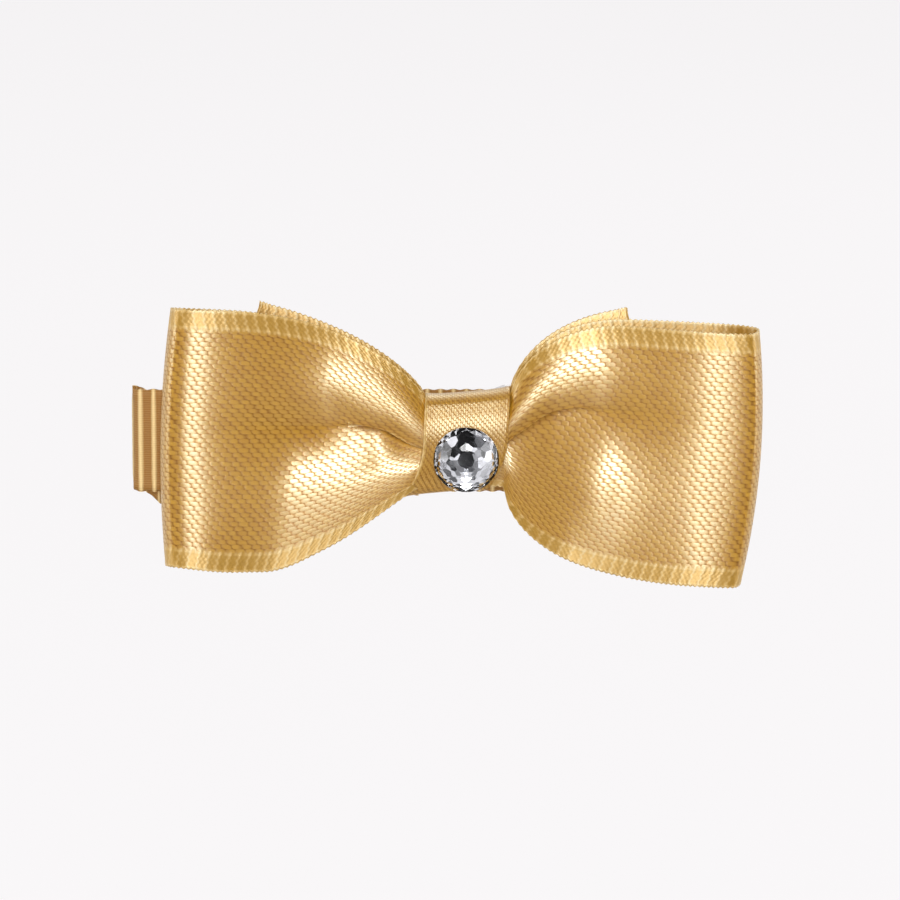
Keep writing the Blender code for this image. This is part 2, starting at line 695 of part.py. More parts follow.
def build_wrap(look):
    """Satin strip once round the waist, its end lapped over its start at the back."""
    rows = []
    count = 44
    lap = math.radians(25.0)
    for step in range(count + 1):
        turn = mix(math.pi - lap, -math.pi - lap, step / count)
        over = WRAP_LAP * smooth((step - 0.8 * count) / (0.12 * count))
        row = []
        for column in range(9):
            side = column / 4.0 - 1.0
            along = side * (WRAP_LEFT if side < 0.0 else WRAP_RIGHT)
            flare = WRAP_FLARE * side ** 4 + over
            forward, up = knot_ring(turn, WRAP_HALF_Z + flare, WRAP_HALF_Y + flare)
            row.append(bow_place(along, forward, up + KNOT_RISE + along * math.tan(WRAP_TILT)))
        rows.append(row)
    wrap = add_object("knot_wrap", sheet(rows), look)
    thicken(wrap, WRAP_THICK)


def build_glue_pad(look):
    """Flat pad of glue between the lining and the back of the wrap."""
    back = WAIST_DEPTH - WRAP_HALF_Y - 0.3 * WRAP_FLARE - WRAP_LAP - 0.5 * WRAP_THICK
    half = 0.5 * GLUE_PAD_HEIGHT
    outline = arc((BOW_X + 0.5 * GLUE_PAD_LENGTH - half, 0.0), half,
                  -0.5 * math.pi, 0.5 * math.pi, 10)
    outline += arc((BOW_X - 0.5 * GLUE_PAD_LENGTH + half, 0.0), half,
                   0.5 * math.pi, 1.5 * math.pi, 10)
    near = LINING_FRONT - GLUE_FILM
    pad = prism(outline, near, LINING_FRONT - back + GLUE_FILM, "xz")
    add_object("bow_glue_pad", pad, look)


def brilliant_half(bm, flat_radius, flat_forward, rim_forward, turn_out):
    """Facets of one half of the stone between its flat face and its girdle."""
    eighth = math.radians(22.5)
    middle_radius = mix(flat_radius, STONE_RADIUS, 0.55)
    share = (middle_radius * math.cos(eighth) - flat_radius) / (STONE_RADIUS - flat_radius)
    middle_forward = mix(flat_forward, rim_forward, share)

    def ring(radius, forward, count, offset):
        made = []
        for step in range(count):
            turn = 2.0 * math.pi * step / count + offset
            place = Vector((radius * math.cos(turn), -forward, radius * math.sin(turn)))
            made.append(bm.verts.new(STONE + place))
        return made

    flat = ring(flat_radius, flat_forward, 8, 0.0)
    middle = ring(middle_radius, middle_forward, 8, eighth)
    rim = ring(STONE_RADIUS, rim_forward, 16, 0.0)
    faces = [bm.faces.new(flat)]
    for step in range(8):
        after = (step + 1) % 8
        faces.append(bm.faces.new((flat[step], middle[step], flat[after])))
        faces.append(bm.faces.new((flat[step], middle[step - 1], rim[2 * step], middle[step])))
        faces.append(bm.faces.new((middle[step], rim[2 * step], rim[2 * step + 1])))
        faces.append(bm.faces.new((middle[step], rim[2 * step + 1], rim[2 * after])))
    if turn_out:
        bmesh.ops.reverse_faces(bm, faces=faces)
    return rim


def bridge(bm, first, second):
    for step in range(len(first)):
        after = (step + 1) % len(first)
        bm.faces.new((first[step], first[after], second[after], second[step]))


def build_stone(glass, foil):
    rim = STONE_BACK + STONE_PAVILION
    crown = rim + STONE_GIRDLE
    bm = bmesh.new()
    upper = brilliant_half(bm, STONE_TABLE, crown + STONE_CROWN, crown, False)
    lower = brilliant_half(bm, STONE_CULET, STONE_BACK, rim, True)
    bridge(bm, upper, lower)
    bmesh.ops.recalc_face_normals(bm, faces=bm.faces)
    add_object("rhinestone", bm, glass)
    bm = bmesh.new()
    near = brilliant_half(bm, STONE_CULET, STONE_BACK - STONE_GAP, rim - STONE_GAP, False)
    behind = STONE_GAP + FOIL_THICK
    far = brilliant_half(bm, STONE_CULET, STONE_BACK - behind, rim - behind, True)
    bridge(bm, near, far)
    bmesh.ops.recalc_face_normals(bm, faces=bm.faces)
    add_object("rhinestone_foil", bm, foil)


def build_dab(look):
    """Dish of clear glue between the wrap and the foil."""
    back = WRAP_FRONT + GLUE_FILM
    top = STONE_BACK - 2.0 * STONE_GAP - FOIL_THICK
    slope = STONE_PAVILION / (STONE_RADIUS - STONE_CULET)
    rim = top + (DAB_RADIUS - STONE_CULET) * slope - 0.1 * MM
    profile = [(0.0, back), (0.75 * DAB_RADIUS, back), (DAB_RADIUS, mix(back, rim, 0.4))]
    profile += [(DAB_RADIUS, rim), (STONE_CULET, top), (0.0, top)]
    add_object("rhinestone_glue", lathe(profile, STONE, 24), look)


def build():
    clear_scene()
    steel = (0.72, 0.72, 0.74)
    build_upper_jaw(material("plated_steel_blade", steel, 1.0, 0.28))
    build_lower_jaw(material("plated_steel_lever", steel, 1.0, 0.28))
    build_pin(material("plated_steel_pin", steel, 1.0, 0.35))
    wire("torsion_spring", spring_points(), WIRE_RADIUS,
         material("spring_wire", (0.5, 0.5, 0.52), 1.0, 0.3))
    build_lining(material("grosgrain_gold", (0.57, 0.35, 0.13), 0.0, 0.6))
    build_bow(material("satin_gold", (0.62, 0.4, 0.14), 0.0, 0.35))
    build_wrap(material("satin_gold_wrap", (0.7, 0.5, 0.24), 0.0, 0.35))
    build_thread(material("gold_thread", (0.5, 0.3, 0.1), 0.0, 0.7))
    build_glue_pad(material("hot_melt_glue", (0.8, 0.75, 0.6), 0.0, 0.4))
    build_stone(material("cut_glass", (0.85, 0.87, 0.9), 0.0, 0.05),
                material("mirror_foil", (0.8, 0.8, 0.82), 1.0, 0.1))
    build_dab(material("clear_glue", (0.9, 0.9, 0.88), 0.0, 0.2))


build()
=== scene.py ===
"""Looks of the rhinestone hair clip, laid out as an add-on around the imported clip.

Metres, Z up as worn. The bow faces -Y, the jaw points to -X and the lever lies at +X.
"""
import json
import math
from typing import NamedTuple

import bmesh
import bpy
from bpy.props import FloatProperty, FloatVectorProperty, PointerProperty
from mathutils import Matrix, Vector


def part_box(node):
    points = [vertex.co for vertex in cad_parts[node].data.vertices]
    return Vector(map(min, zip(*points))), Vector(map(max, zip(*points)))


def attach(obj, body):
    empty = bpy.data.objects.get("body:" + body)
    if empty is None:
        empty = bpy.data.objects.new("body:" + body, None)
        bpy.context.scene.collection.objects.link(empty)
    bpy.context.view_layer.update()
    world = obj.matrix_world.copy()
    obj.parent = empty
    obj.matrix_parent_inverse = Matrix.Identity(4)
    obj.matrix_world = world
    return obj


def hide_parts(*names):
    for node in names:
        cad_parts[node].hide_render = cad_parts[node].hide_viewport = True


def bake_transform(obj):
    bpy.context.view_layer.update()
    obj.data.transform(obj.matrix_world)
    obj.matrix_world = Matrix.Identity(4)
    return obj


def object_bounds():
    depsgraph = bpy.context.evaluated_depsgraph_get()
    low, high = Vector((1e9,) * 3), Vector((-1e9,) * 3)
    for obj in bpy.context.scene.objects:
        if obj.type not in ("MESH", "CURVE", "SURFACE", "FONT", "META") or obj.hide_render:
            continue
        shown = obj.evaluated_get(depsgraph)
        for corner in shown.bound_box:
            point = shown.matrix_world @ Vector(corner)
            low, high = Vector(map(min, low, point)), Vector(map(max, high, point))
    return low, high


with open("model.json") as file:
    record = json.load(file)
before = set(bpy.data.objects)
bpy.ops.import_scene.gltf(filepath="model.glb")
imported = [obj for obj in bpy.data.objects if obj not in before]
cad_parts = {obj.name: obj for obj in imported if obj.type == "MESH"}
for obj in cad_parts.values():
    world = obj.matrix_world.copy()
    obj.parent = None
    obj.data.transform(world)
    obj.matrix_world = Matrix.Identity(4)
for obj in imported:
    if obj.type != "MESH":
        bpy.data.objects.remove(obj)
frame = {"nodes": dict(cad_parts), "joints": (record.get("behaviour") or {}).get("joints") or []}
CAD_BOX = [list(corner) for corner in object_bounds()]

bl_info = {
    "name": "Rhinestone hair clip",
    "version": (1, 0, 0),
    "blender": (4, 5, 0),
    "location": "View3D > Sidebar > Hair Clip",
    "description": "Satin bow, knot, lining, spring, stone and studio for the packed hair clip",
    "category": "Object",
}

MM = 0.001
FIXED = "fixed_jaw"
MAP = "ribbon"

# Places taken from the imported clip
PIN = Vector(frame["joints"][0]["pos_m"])
LINING_LOW, LINING_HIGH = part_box("jaw_lining")
STONE_LOW, STONE_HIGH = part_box("rhinestone")
BOW_SEAT = Vector((0.5 * (STONE_LOW.x + STONE_HIGH.x), LINING_LOW.y, 0.0))


# Settings

def length(label, note, millimetres):
    return FloatProperty(name=label, description=note, default=millimetres * MM,
                         unit="LENGTH", precision=5)


def angle(label, note, degrees):
    return FloatProperty(name=label, description=note, default=math.radians(degrees),
                         subtype="ANGLE")


def amount(label, note, value):
    return FloatProperty(name=label, description=note, default=value, min=0.0)


def tint(label, note, colour):
    return FloatVectorProperty(name=label, description=note, default=colour, size=3,
                               min=0.0, max=1.0, subtype="COLOR")


class BowSizes(bpy.types.PropertyGroup):
    """Sizes of the satin bow."""
    width: length("Ribbon width", "Width of the satin ribbon", 24.3)
    thick: length("Ribbon thickness", "Thickness of the satin ribbon", 0.22)
    roll: angle("Roll", "Turn of the bow on the clip", 2.6)
    lift: length("Lift", "Height of the bow above the middle of the clip", 0.5)
    left: length("Left loop", "Reach of the left loop from the knot", 28.6)
    right: length("Right loop", "Reach of the right loop from the knot", 27.4)
    crest_left: length("Left crest", "Depth of the left loop's front above the lining", 8.2)
    crest_right: length("Right crest", "Depth of the right loop's front above the lining", 8.0)
    back: length("Back layer", "Depth of the loops' back layer above the lining", 2.4)
    tail_left: length("Left tail", "Reach of the tail inside the left loop", 20.8)
    tail_right: length("Right tail", "Reach of the tail behind the right loop", 15.4)
    waist: length("Waist depth", "Depth of the gathered waist above the lining", 4.1)
    waist_height: length("Waist height", "Height of the gathered waist", 7.8)
    layer: length("Layer step", "Depth between the layers at the waist", 0.75)
    picot: length("Picot pitch", "Distance between the small bumps of the woven edge", 0.5)


class KnotSizes(bpy.types.PropertyGroup):
    """Sizes of the wrap and the thread at the waist."""
    left: length("Left side", "Reach of the wrap to the left", 4.1)
    right: length("Right side", "Reach of the wrap to the right", 3.9)
    half_height: length("Half height", "Half the height of the wrap's ring", 4.7)
    half_depth: length("Half depth", "Half the depth of the wrap's ring", 2.7)
    thick: length("Wrap thickness", "Thickness of the wrap", 0.26)
    rise: length("Rise", "Lift of the knot above the middle of the clip", 0.5)
    tilt: angle("Tilt", "Turn of the wrap against the bow", 7.5)
    thread: length("Thread radius", "Radius of the tying thread", 0.2)


class ClipSizes(bpy.types.PropertyGroup):
    """Sizes of the lining and the spring."""
    lining: length("Lining width", "Width of the grosgrain lining", 9.9)
    lining_thick: length("Lining thickness", "Thickness of the grosgrain lining", 0.4)
    rib: length("Rib pitch", "Distance between the ribs of the lining", 1.25)
    wire: length("Wire radius", "Radius of the spring's wire", 0.35)
    coil: length("Coil radius", "Radius of the spring's coil", 1.5)


class Finishes(bpy.types.PropertyGroup):
    """Colours of the clip's materials."""
    satin: tint("Satin", "Gold of the satin threads", (0.62, 0.315, 0.024))
    # Painted shade between the satin floats; the same colour also darkens some floats at random
    satin_deep: tint("Satin shade", "Gold between the satin threads", (0.4, 0.135, 0.006))
    # Painted highlight on the raised bars, dots and rim of the woven edge
    satin_pale: tint("Satin edge", "Gold of the raised threads of the woven edge", (0.8, 0.51, 0.17))
    # The lining's gold is painted highlight on the tops of the ribs
    grosgrain: tint("Grosgrain", "Gold of the lining's ribs", (0.92, 0.7, 0.34))
    # Painted shade in the grooves between the lining's ribs
    grosgrain_deep: tint("Grosgrain shade", "Gold between the ribs", (0.31, 0.135, 0.02))
    thread: tint("Thread", "Gold of the tying thread", (0.5, 0.3, 0.1))
    steel: tint("Plated steel", "Nickel plating of the jaws", (0.72, 0.71, 0.7))
    glass: tint("Glass", "Tint of the stone", (0.97, 0.98, 1.0))
    foil: tint("Foil", "Silver of the foil behind the stone", (0.95, 0.95, 0.96))
    foil_deep: tint("Foil shade", "Silver of the foil's duller patches", (0.8, 0.8, 0.81))
    dab: tint("Stone glue", "Tint of the clear glue under the stone", (0.9, 0.88, 0.82))
    glue: tint("Glue", "Tint of the hot glue", (0.78, 0.7, 0.52))


class StudioSettings(bpy.types.PropertyGroup):
    """Camera, lights and floor."""
    height_angle: angle("Camera elevation", "Elevation of the camera above the clip", 11.0)
    distance: length("Camera distance", "Distance from the camera to the clip", 550.0)
    field: length("Field", "Width that the picture shows at the clip", 85.9)
    drop: length("Floor drop", "Distance of the floor below the clip", 62.0)
    paper: tint("Paper", "Colour of the pale floor and backdrop", (0.93, 0.913, 0.922))
    room: tint("Room", "Colour of the dark room on the camera's side", (0.03, 0.03, 0.032))
    key: amount("Key light", "Power of the soft key light in watts", 2.65)
    top: amount("Top light", "Power of the long light above the camera in watts", 2.0)
    side: amount("Side lights", "Power of each soft light at the sides in watts", 1.2)
    back: amount("Back light", "Power of the soft light behind the clip in watts", 1.6)


class HairClipSettings(bpy.types.PropertyGroup):
    """All settings of the hair clip."""
    bow: PointerProperty(type=BowSizes)
    knot: PointerProperty(type=KnotSizes)
    clip: PointerProperty(type=ClipSizes)
    finish: PointerProperty(type=Finishes)
    studio: PointerProperty(type=StudioSettings)


# Curves and meshes

def mix(first, second, share):
    return first + (second - first) * share


def clamp(share):
    return min(max(share, 0.0), 1.0)


def smooth(share):
    share = clamp(share)
    return share * share * (3.0 - 2.0 * share)


def curve_points(points, steps):
    """Points of a smooth curve through the given ones, with the same count in each span."""
    made = []
    last = len(points) - 1
    for span in range(last):
        before = points[max(span - 1, 0)]
        after = points[min(span + 2, last)]
        for step in range(steps):
            t = step / steps
            place = []
            for a, b, c, d in zip(before, points[span], points[span + 1], after):
                value = 2.0 * b + (c - a) * t
                value += (2.0 * a - 5.0 * b + 4.0 * c - d) * t * t
                value += (3.0 * b - a - 3.0 * c + d) * t * t * t
                place.append(0.5 * value)
            made.append(tuple(place))
    made.append(tuple(points[last]))
    return made


def curve_value(points, x):
    """Height of a smooth curve through (x, height) points at x."""
    if x <= points[0][0]:
        return points[0][1]
    for (x0, y0), (x1, y1) in zip(points, points[1:]):
        if x <= x1:
            return mix(y0, y1, smooth((x - x0) / (x1 - x0)))
    return points[-1][1]


def even_points(points, spacing, steps=30):
    """Places at even distances along a smooth path, each as (distance, place)."""
    fine = curve_points(points, steps)
    travelled = [0.0]
    for a, b in zip(fine, fine[1:]):
        travelled.append(travelled[-1] + math.dist(a[:2], b[:2]))
    count = round(travelled[-1] / spacing)
    made = []
    span = 0
    for step in range(count + 1):
        want = travelled[-1] * step / count
        while span < len(fine) - 2 and travelled[span + 1] < want:
            span += 1
        share = (want - travelled[span]) / (travelled[span + 1] - travelled[span])
        made.append((want, [mix(a, b, share) for a, b in zip(fine[span], fine[span + 1])]))
    return made


def arc(centre, radius, start, end, steps):
    points = []
    for step in range(steps + 1):
        turn = mix(start, end, step / steps)
        points.append((centre[0] + radius * math.cos(turn), centre[1] + radius * math.sin(turn)))
    return points


def add_object(name, bm, look, sharp=None, faceted=False):
    """Put a finished mesh into the scene, faceted or shaded smooth below the sharp angle."""
    mesh = bpy.data.meshes.new(name)
    bm.to_mesh(mesh)
    bm.free()
    for face in mesh.polygons:
        face.use_smooth = not faceted
    if sharp is not None:
        mesh.set_sharp_from_angle(angle=math.radians(sharp))
    mesh.materials.append(look)
    item = bpy.data.objects.new(name, mesh)
    bpy.context.scene.collection.objects.link(item)
    return item


def thicken(item, thickness, offset):
    """Give a surface its thickness; the offset is 0 for both sides and 1 for the outer one."""
    step = item.modifiers.new("thickness", "SOLIDIFY")
    step.thickness = thickness
    step.offset = offset
    return step


def strip(name, rows, thickness, look):
    """A cloth strip through rows of (place, across, along), with a map in millimetres."""
    bm = bmesh.new()
    layer = bm.loops.layers.uv.new(MAP)
    grid = [[bm.verts.new(place) for place, across, along in row] for row in rows]
    for number in range(len(rows) - 1):
        for side in range(len(rows[0]) - 1):
            corners = [(number, side), (number + 1, side), (number + 1, side + 1), (number, side + 1)]
            face = bm.faces.new([grid[a][b] for a, b in corners])
            for loop, (a, b) in zip(face.loops, corners):
                place, across, along = rows[a][b]
                loop[layer].uv = (across / MM, along / MM)
    bm.normal_update()
    item = add_object(name, bm, look)
    thicken(item, thickness, 0.0).use_even_offset = True
    return item


def tube(name, points, radius, look, ply=0.0, ply_turn=0.0):
    """A round wire along points with closed ends; ply gives it twisted strands."""
    sides = 12
    strands = 3
    bm = bmesh.new()
    rings = []
    across = Vector((0.0, 0.0, 1.0))
    for number, point in enumerate(points):
        before = points[max(number - 1, 0)]
        after = points[min(number + 1, len(points) - 1)]
        along = (Vector(after) - Vector(before)).normalized()
        across = (across - along * across.dot(along)).normalized()
        other = along.cross(across)
        ring = []
        for side in range(sides):
            turn = math.tau * side / sides
            swell = 1.0 - ply * (1.0 - abs(math.cos(0.5 * strands * turn + ply_turn * number)))
            out = across * math.cos(turn) + other * math.sin(turn)
            ring.append(bm.verts.new(Vector(point) + out * radius * swell))
        rings.append(ring)
    for near, far in zip(rings, rings[1:]):
        for side in range(sides):
            after = (side + 1) % sides
            bm.faces.new((near[side], near[after], far[after], far[side]))
    bm.faces.new(list(reversed(rings[0])))
    bm.faces.new(rings[-1])
    bmesh.ops.recalc_face_normals(bm, faces=bm.faces)
    return add_object(name, bm, look, sharp=50.0)


def fit(piece, node):
    """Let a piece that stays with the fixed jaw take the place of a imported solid."""
    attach(piece, FIXED)
    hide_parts(node)


def coat(looks):
    """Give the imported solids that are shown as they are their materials."""
    for node, look in looks.items():
        mesh = frame["nodes"][node].data
        mesh.materials.clear()
        mesh.materials.append(look)


# Shader nodes

class Tree:
    """Short way to add and join nodes in one node tree."""

    def __init__(self, tree):
        self.tree = tree

    def add(self, kind, inputs=(), **settings):
        node = self.tree.nodes.new(kind)
        for name, value in settings.items():
            setattr(node, name, value)
        self.feed(node, dict(inputs))
        return node

    def join(self, value, socket):
        """Link a socket, or set a plain value; colours have three parts and are opaque."""
        if isinstance(value, bpy.types.NodeSocket):
            self.tree.links.new(value, socket)
        elif socket.type == "RGBA":
            socket.default_value = (*value, 1.0)
        else:
            socket.default_value = value

    def feed(self, node, inputs):
        for name, value in inputs.items():
            self.join(value, node.inputs[name])

    def fill(self, node, values):
        """Feed a node's inputs in their order, and give its first output."""
        for socket, value in zip(node.inputs, values):
            self.join(value, socket)
        return node.outputs[0]

    def calc(self, operation, *values):
        return self.fill(self.add("ShaderNodeMath", operation=operation), values)

    def total(self, start, *parts):
        """A start value with parts added to it, each as (value, share)."""
        for value, share in parts:
            start = self.calc("MULTIPLY_ADD", value, share, start)
        return start

    def between(self, value, low, high, start=0.0, end=1.0):
        """Smooth step of a value from low to high."""
        node = self.add("ShaderNodeMapRange", interpolation_type="SMOOTHSTEP")
        return self.fill(node, (value, low, high, start, end))

    def off_middle(self, share):
        """How far a share lies from its middle: 0 at a half, 1 at both ends."""
        return self.calc("ABSOLUTE", self.total(-1.0, (share, 2.0)))

    def split(self, place):
        return self.add("ShaderNodeSeparateXYZ", {"Vector": place}).outputs

    def noise(self, place, scale, detail):
        node = self.add("ShaderNodeTexNoise", {"Vector": place, "Scale": scale, "Detail": detail})
        return node.outputs["Fac"]

    def blend(self, share, first, second):
        node = self.add("ShaderNodeMix", data_type="RGBA")
        self.feed(node, {"Factor": share, "A": first, "B": second})
        return node.outputs["Result"]

    def bump(self, height, strength, distance):
        node = self.add("ShaderNodeBump", {"Height": height, "Strength": strength, "Distance": distance})
        return node.outputs[0]


def new_group(name, inputs, outputs):
    """A shader node group with float inputs and outputs, and a vector input called Place."""
    group = bpy.data.node_groups.new(name, "ShaderNodeTree")
    group.interface.new_socket("Place", in_out="INPUT", socket_type="NodeSocketVector")
    for label, value in inputs.items():
        socket = group.interface.new_socket(label, in_out="INPUT", socket_type="NodeSocketFloat")
        socket.default_value = value
    for label in outputs:
        group.interface.new_socket(label, in_out="OUTPUT", socket_type="NodeSocketFloat")
    tree = Tree(group)
    return group, tree, tree.add("NodeGroupInput").outputs, tree.add("NodeGroupOutput")


def satin_weave():
    """Oval floats side by side, each row set off from the last, with soft gaps between them."""
    group, tree, ins, result = new_group(
        "satin_weave",
        {"Row": 0.42, "Float": 0.98, "Offset": -0.46, "Slant": 0.35, "Drift": 0.6, "Row Gap": 0.54},
        ("Height", "Tone", "Gap"))
    split = tree.split(ins["Place"])
    row = tree.calc("DIVIDE", split["X"], ins["Row"])
    number = tree.calc("FLOOR", row)
    share = tree.calc("FRACT", row)
    step = tree.total(number, (share, ins["Slant"]))
    drift = tree.noise(ins["Place"], 1.3, 1.0)
    along = tree.calc("DIVIDE", split["Y"], ins["Float"])
    along = tree.total(along, (step, ins["Offset"]), (drift, ins["Drift"]))
    low_side = tree.calc("POWER", tree.off_middle(share), 2.0)
    low_end = tree.calc("POWER", tree.off_middle(tree.calc("FRACT", along)), 2.2)
    away = tree.total(low_end, (low_side, ins["Row Gap"]))
    cell = tree.add("ShaderNodeCombineXYZ", {"X": number, "Y": tree.calc("FLOOR", along)})
    tone = tree.add("ShaderNodeTexWhiteNoise", {"Vector": cell.outputs[0]}, noise_dimensions="2D")
    tree.feed(result, {"Height": tree.calc("SUBTRACT", 1.0, away),
                       "Tone": tone.outputs["Value"],
                       "Gap": tree.between(away, 0.15, 1.35)})
    return group


def selvedge_weave():
    """Woven edge: slanted bars of fine threads, a dotted line along its inner side, and its rim. Its Light
    output is the height again, used as painted highlight on the raised threads and painted shade between
    them.
    """
    group, tree, ins, result = new_group(
        "selvedge_weave",
        {"Half Width": 12.25, "Band": 1.8, "Pitch": 1.0, "Slant": 0.25, "Line": 0.9, "Threads": 11.0,
         "Bar Height": 0.5, "Thread Height": 0.2, "Dot Height": 0.35, "Rim Height": 0.6},
        ("Mask", "Height", "Light"))
    split = tree.split(ins["Place"])
    inside = tree.calc("SUBTRACT", ins["Half Width"], tree.calc("ABSOLUTE", split["X"]))
    share = tree.calc("DIVIDE", inside, ins["Band"])
    slanted = tree.total(split["Y"], (inside, ins["Slant"]))
    turn = tree.calc("MULTIPLY", tree.calc("DIVIDE", slanted, ins["Pitch"]), math.tau)
    bars = tree.calc("POWER", tree.total(0.5, (tree.calc("SINE", turn), 0.5)), 2.0)
    double = tree.calc("SINE", tree.calc("MULTIPLY", turn, 2.0))
    threads = tree.calc("SINE", tree.calc("MULTIPLY", inside, ins["Threads"]))
    threads = tree.calc("MULTIPLY", double, threads)
    near = tree.calc("ABSOLUTE", tree.calc("SUBTRACT", share, ins["Line"]))
    dots = tree.total(ins["Dot Height"], (double, ins["Dot Height"]))
    dots = tree.calc("MULTIPLY", tree.between(near, 0.16, 0.04), dots)
    rim = tree.between(share, 0.2, 0.05, 0.0, ins["Rim Height"])
    height = tree.calc("MAXIMUM", dots, rim)
    height = tree.total(height, (bars, ins["Bar Height"]), (threads, ins["Thread Height"]))
    tree.feed(result, {"Mask": tree.between(share, 1.12, 0.84),
                       "Height": height,
                       "Light": tree.between(height, 0.0, 1.1)})
    return group


def fine_wear():
    """Fine unevenness of a surface: soft patches and small scratches."""
    group, tree, ins, result = new_group(
        "fine_wear", {"Patch Scale": 300.0, "Scratch Scale": 900.0}, ("Patch", "Scratch"))
    stretched = tree.add("ShaderNodeMapping", {"Vector": ins["Place"], "Scale": (0.12, 1.0, 1.0)})
    scratch = tree.noise(stretched.outputs[0], ins["Scratch Scale"], 2.0)
    tree.feed(result, {"Patch": tree.noise(ins["Place"], ins["Patch Scale"], 4.0),
                       "Scratch": tree.between(scratch, 0.62, 0.74)})
    return group


def place_group(tree, build, place, **values):
    """Place a node group with its own values; the group is built when it is first placed."""
    group = bpy.data.node_groups.get(build.__name__) or build()
    node = tree.add("ShaderNodeGroup", {"Place": place}, node_tree=group)
    tree.feed(node, {name.replace("_", " "): value for name, value in values.items()})
    return node.outputs


# Materials

# Satin weaves in millimetres: the woven edge, a row of floats and the length of a float
BOW_WEAVE = {"band": 1.8, "row": 0.42, "run": 0.98}
WRAP_WEAVE = {"band": 0.1, "row": 0.22, "run": 0.56}


def new_material(name):
    look = bpy.data.materials.new(name)
    look.use_nodes = True
    tree = Tree(look.node_tree)
    return look, tree, look.node_tree.nodes["Principled BSDF"]


def worn_material(name, **scales):
    """A new material with fine wear, placed by the piece's own coordinates."""
    look, tree, shader = new_material(name)
    place = tree.add("ShaderNodeTexCoord").outputs["Object"]
    return look, tree, shader, place_group(tree, fine_wear, place, **scales)


def satin_material(name, finish, half_width, band, row, run):
    """Satin: shiny floats along the strip, with a woven edge. Sizes are in millimetres. The gaps between
    floats get painted shade, and the woven edge's raised threads get painted highlight.
    """
    look, tree, shader = new_material(name)
    place = tree.add("ShaderNodeUVMap", uv_map=MAP).outputs[0]
    weave = place_group(tree, satin_weave, place, Row=row, Float=run)
    edge = place_group(tree, selvedge_weave, place, Half_Width=half_width, Band=band)
    within = tree.calc("SUBTRACT", 1.0, edge["Mask"])
    gap = tree.calc("MULTIPLY", weave["Gap"], within)
    # Painted shade: three quarters of the blend is the gap mask, which darkens the gaps between floats;
    # the last quarter is random tone from float to float
    tone = tree.total(0.0, (weave["Gap"], 0.75), (weave["Tone"], 0.25))
    floats = tree.blend(tone, finish.satin, finish.satin_deep)
    # Painted highlight on the woven edge where its threads stand high, painted shade where they lie low
    woven = tree.blend(edge["Light"], finish.satin, finish.satin_pale)
    dull = tree.calc("MULTIPLY", edge["Mask"], tree.between(edge["Light"], 0.8, 0.0, 0.0, 0.3))
    raised = tree.calc("MULTIPLY", edge["Height"], 2.2)
    height = tree.total(0.0, (weave["Height"], within), (raised, edge["Mask"]))
    tangent = tree.add("ShaderNodeTangent", direction_type="UV_MAP", uv_map=MAP)
    shader.distribution = "GGX"
    tree.feed(shader, {
        "Base Color": tree.blend(edge["Mask"], floats, woven),
        "Metallic": tree.calc("MAXIMUM", tree.calc("MULTIPLY", gap, 0.55), dull),
        "Roughness": tree.total(0.32, (edge["Mask"], 0.16), (gap, 0.28)),
        "Normal": tree.bump(height, 1.0, 0.0095 * MM),
        "Tangent": tangent.outputs[0],
        "Anisotropic": 0.78,
        "IOR": 2.0,
        "Specular IOR Level": 1.0,
        "Specular Tint": (0.94, 1.0, 0.78),
    })
    return look


def grosgrain_material(name, finish, clip):
    """Grosgrain: fine crosswise threads over the ribs that the mesh gives, with painted highlight on the
    ribs' tops and painted shade in the grooves.
    """
    look, tree, shader = new_material(name)
    place = tree.add("ShaderNodeUVMap", uv_map=MAP).outputs[0]
    split = tree.split(place)
    thread = 0.22
    pitch = clip.rib / MM
    turn = tree.calc("MULTIPLY", split["Y"], math.tau / pitch)
    rib = tree.calc("POWER", tree.total(0.5, (tree.calc("COSINE", turn), 0.5)), 8.0)
    fine = tree.calc("SINE", tree.calc("MULTIPLY", split["X"], math.tau / thread))
    fine = tree.total(0.5, (fine, 0.5))
    half_width = 0.5 * clip.lining / MM
    edge = place_group(tree, selvedge_weave, place, Half_Width=half_width, Band=1.7, Pitch=pitch)
    # Painted highlight on the narrow tops of the ribs and painted shade in the grooves between them; the
    # fine threads add a little tone
    tone = tree.total(0.0, (rib, 0.88), (fine, 0.12))
    height = tree.total(fine, (edge["Height"], edge["Mask"]))
    tree.feed(shader, {
        "Base Color": tree.blend(tone, finish.grosgrain_deep, finish.grosgrain),
        "Roughness": tree.total(0.5, (fine, 0.1)),
        "Normal": tree.bump(height, 0.4, 0.04 * MM),
        "Specular IOR Level": 0.3,
    })
    return look


def steel_material(name, colour, roughness):
    """Nickel plating with soft patches and small scratches."""
    look, tree, shader, wear = worn_material(name)
    dark = [0.78 * part for part in colour]
    tree.feed(shader, {
        "Base Color": tree.blend(wear["Patch"], dark, colour),
        "Roughness": tree.total(roughness, (wear["Patch"], 0.12), (wear["Scratch"], 0.18)),
        "Normal": tree.bump(wear["Scratch"], 0.12, 0.02 * MM),
        "Metallic": 1.0,
    })
    return look


def thread_material(name, colour):
    """Spun thread with light and dark fibres."""
    look, tree, shader, wear = worn_material(name, Patch_Scale=2500.0, Scratch_Scale=5000.0)
    dark = [0.55 * part for part in colour]
    tree.feed(shader, {"Base Color": tree.blend(wear["Patch"], dark, colour), "Roughness": 0.65})
    return look


def glue_material(name, colour, clear):
    """Set glue, slightly cloudy."""
    look, tree, shader, wear = worn_material(name, Patch_Scale=700.0)
    pale = [mix(part, 1.0, 0.4) for part in colour]
    tree.feed(shader, {
        "Base Color": tree.blend(wear["Patch"], colour, pale),
        "Roughness": tree.total(0.2, (wear["Patch"], 0.2)),
        "Transmission Weight": clear,
        "IOR": 1.48,
    })
    return look


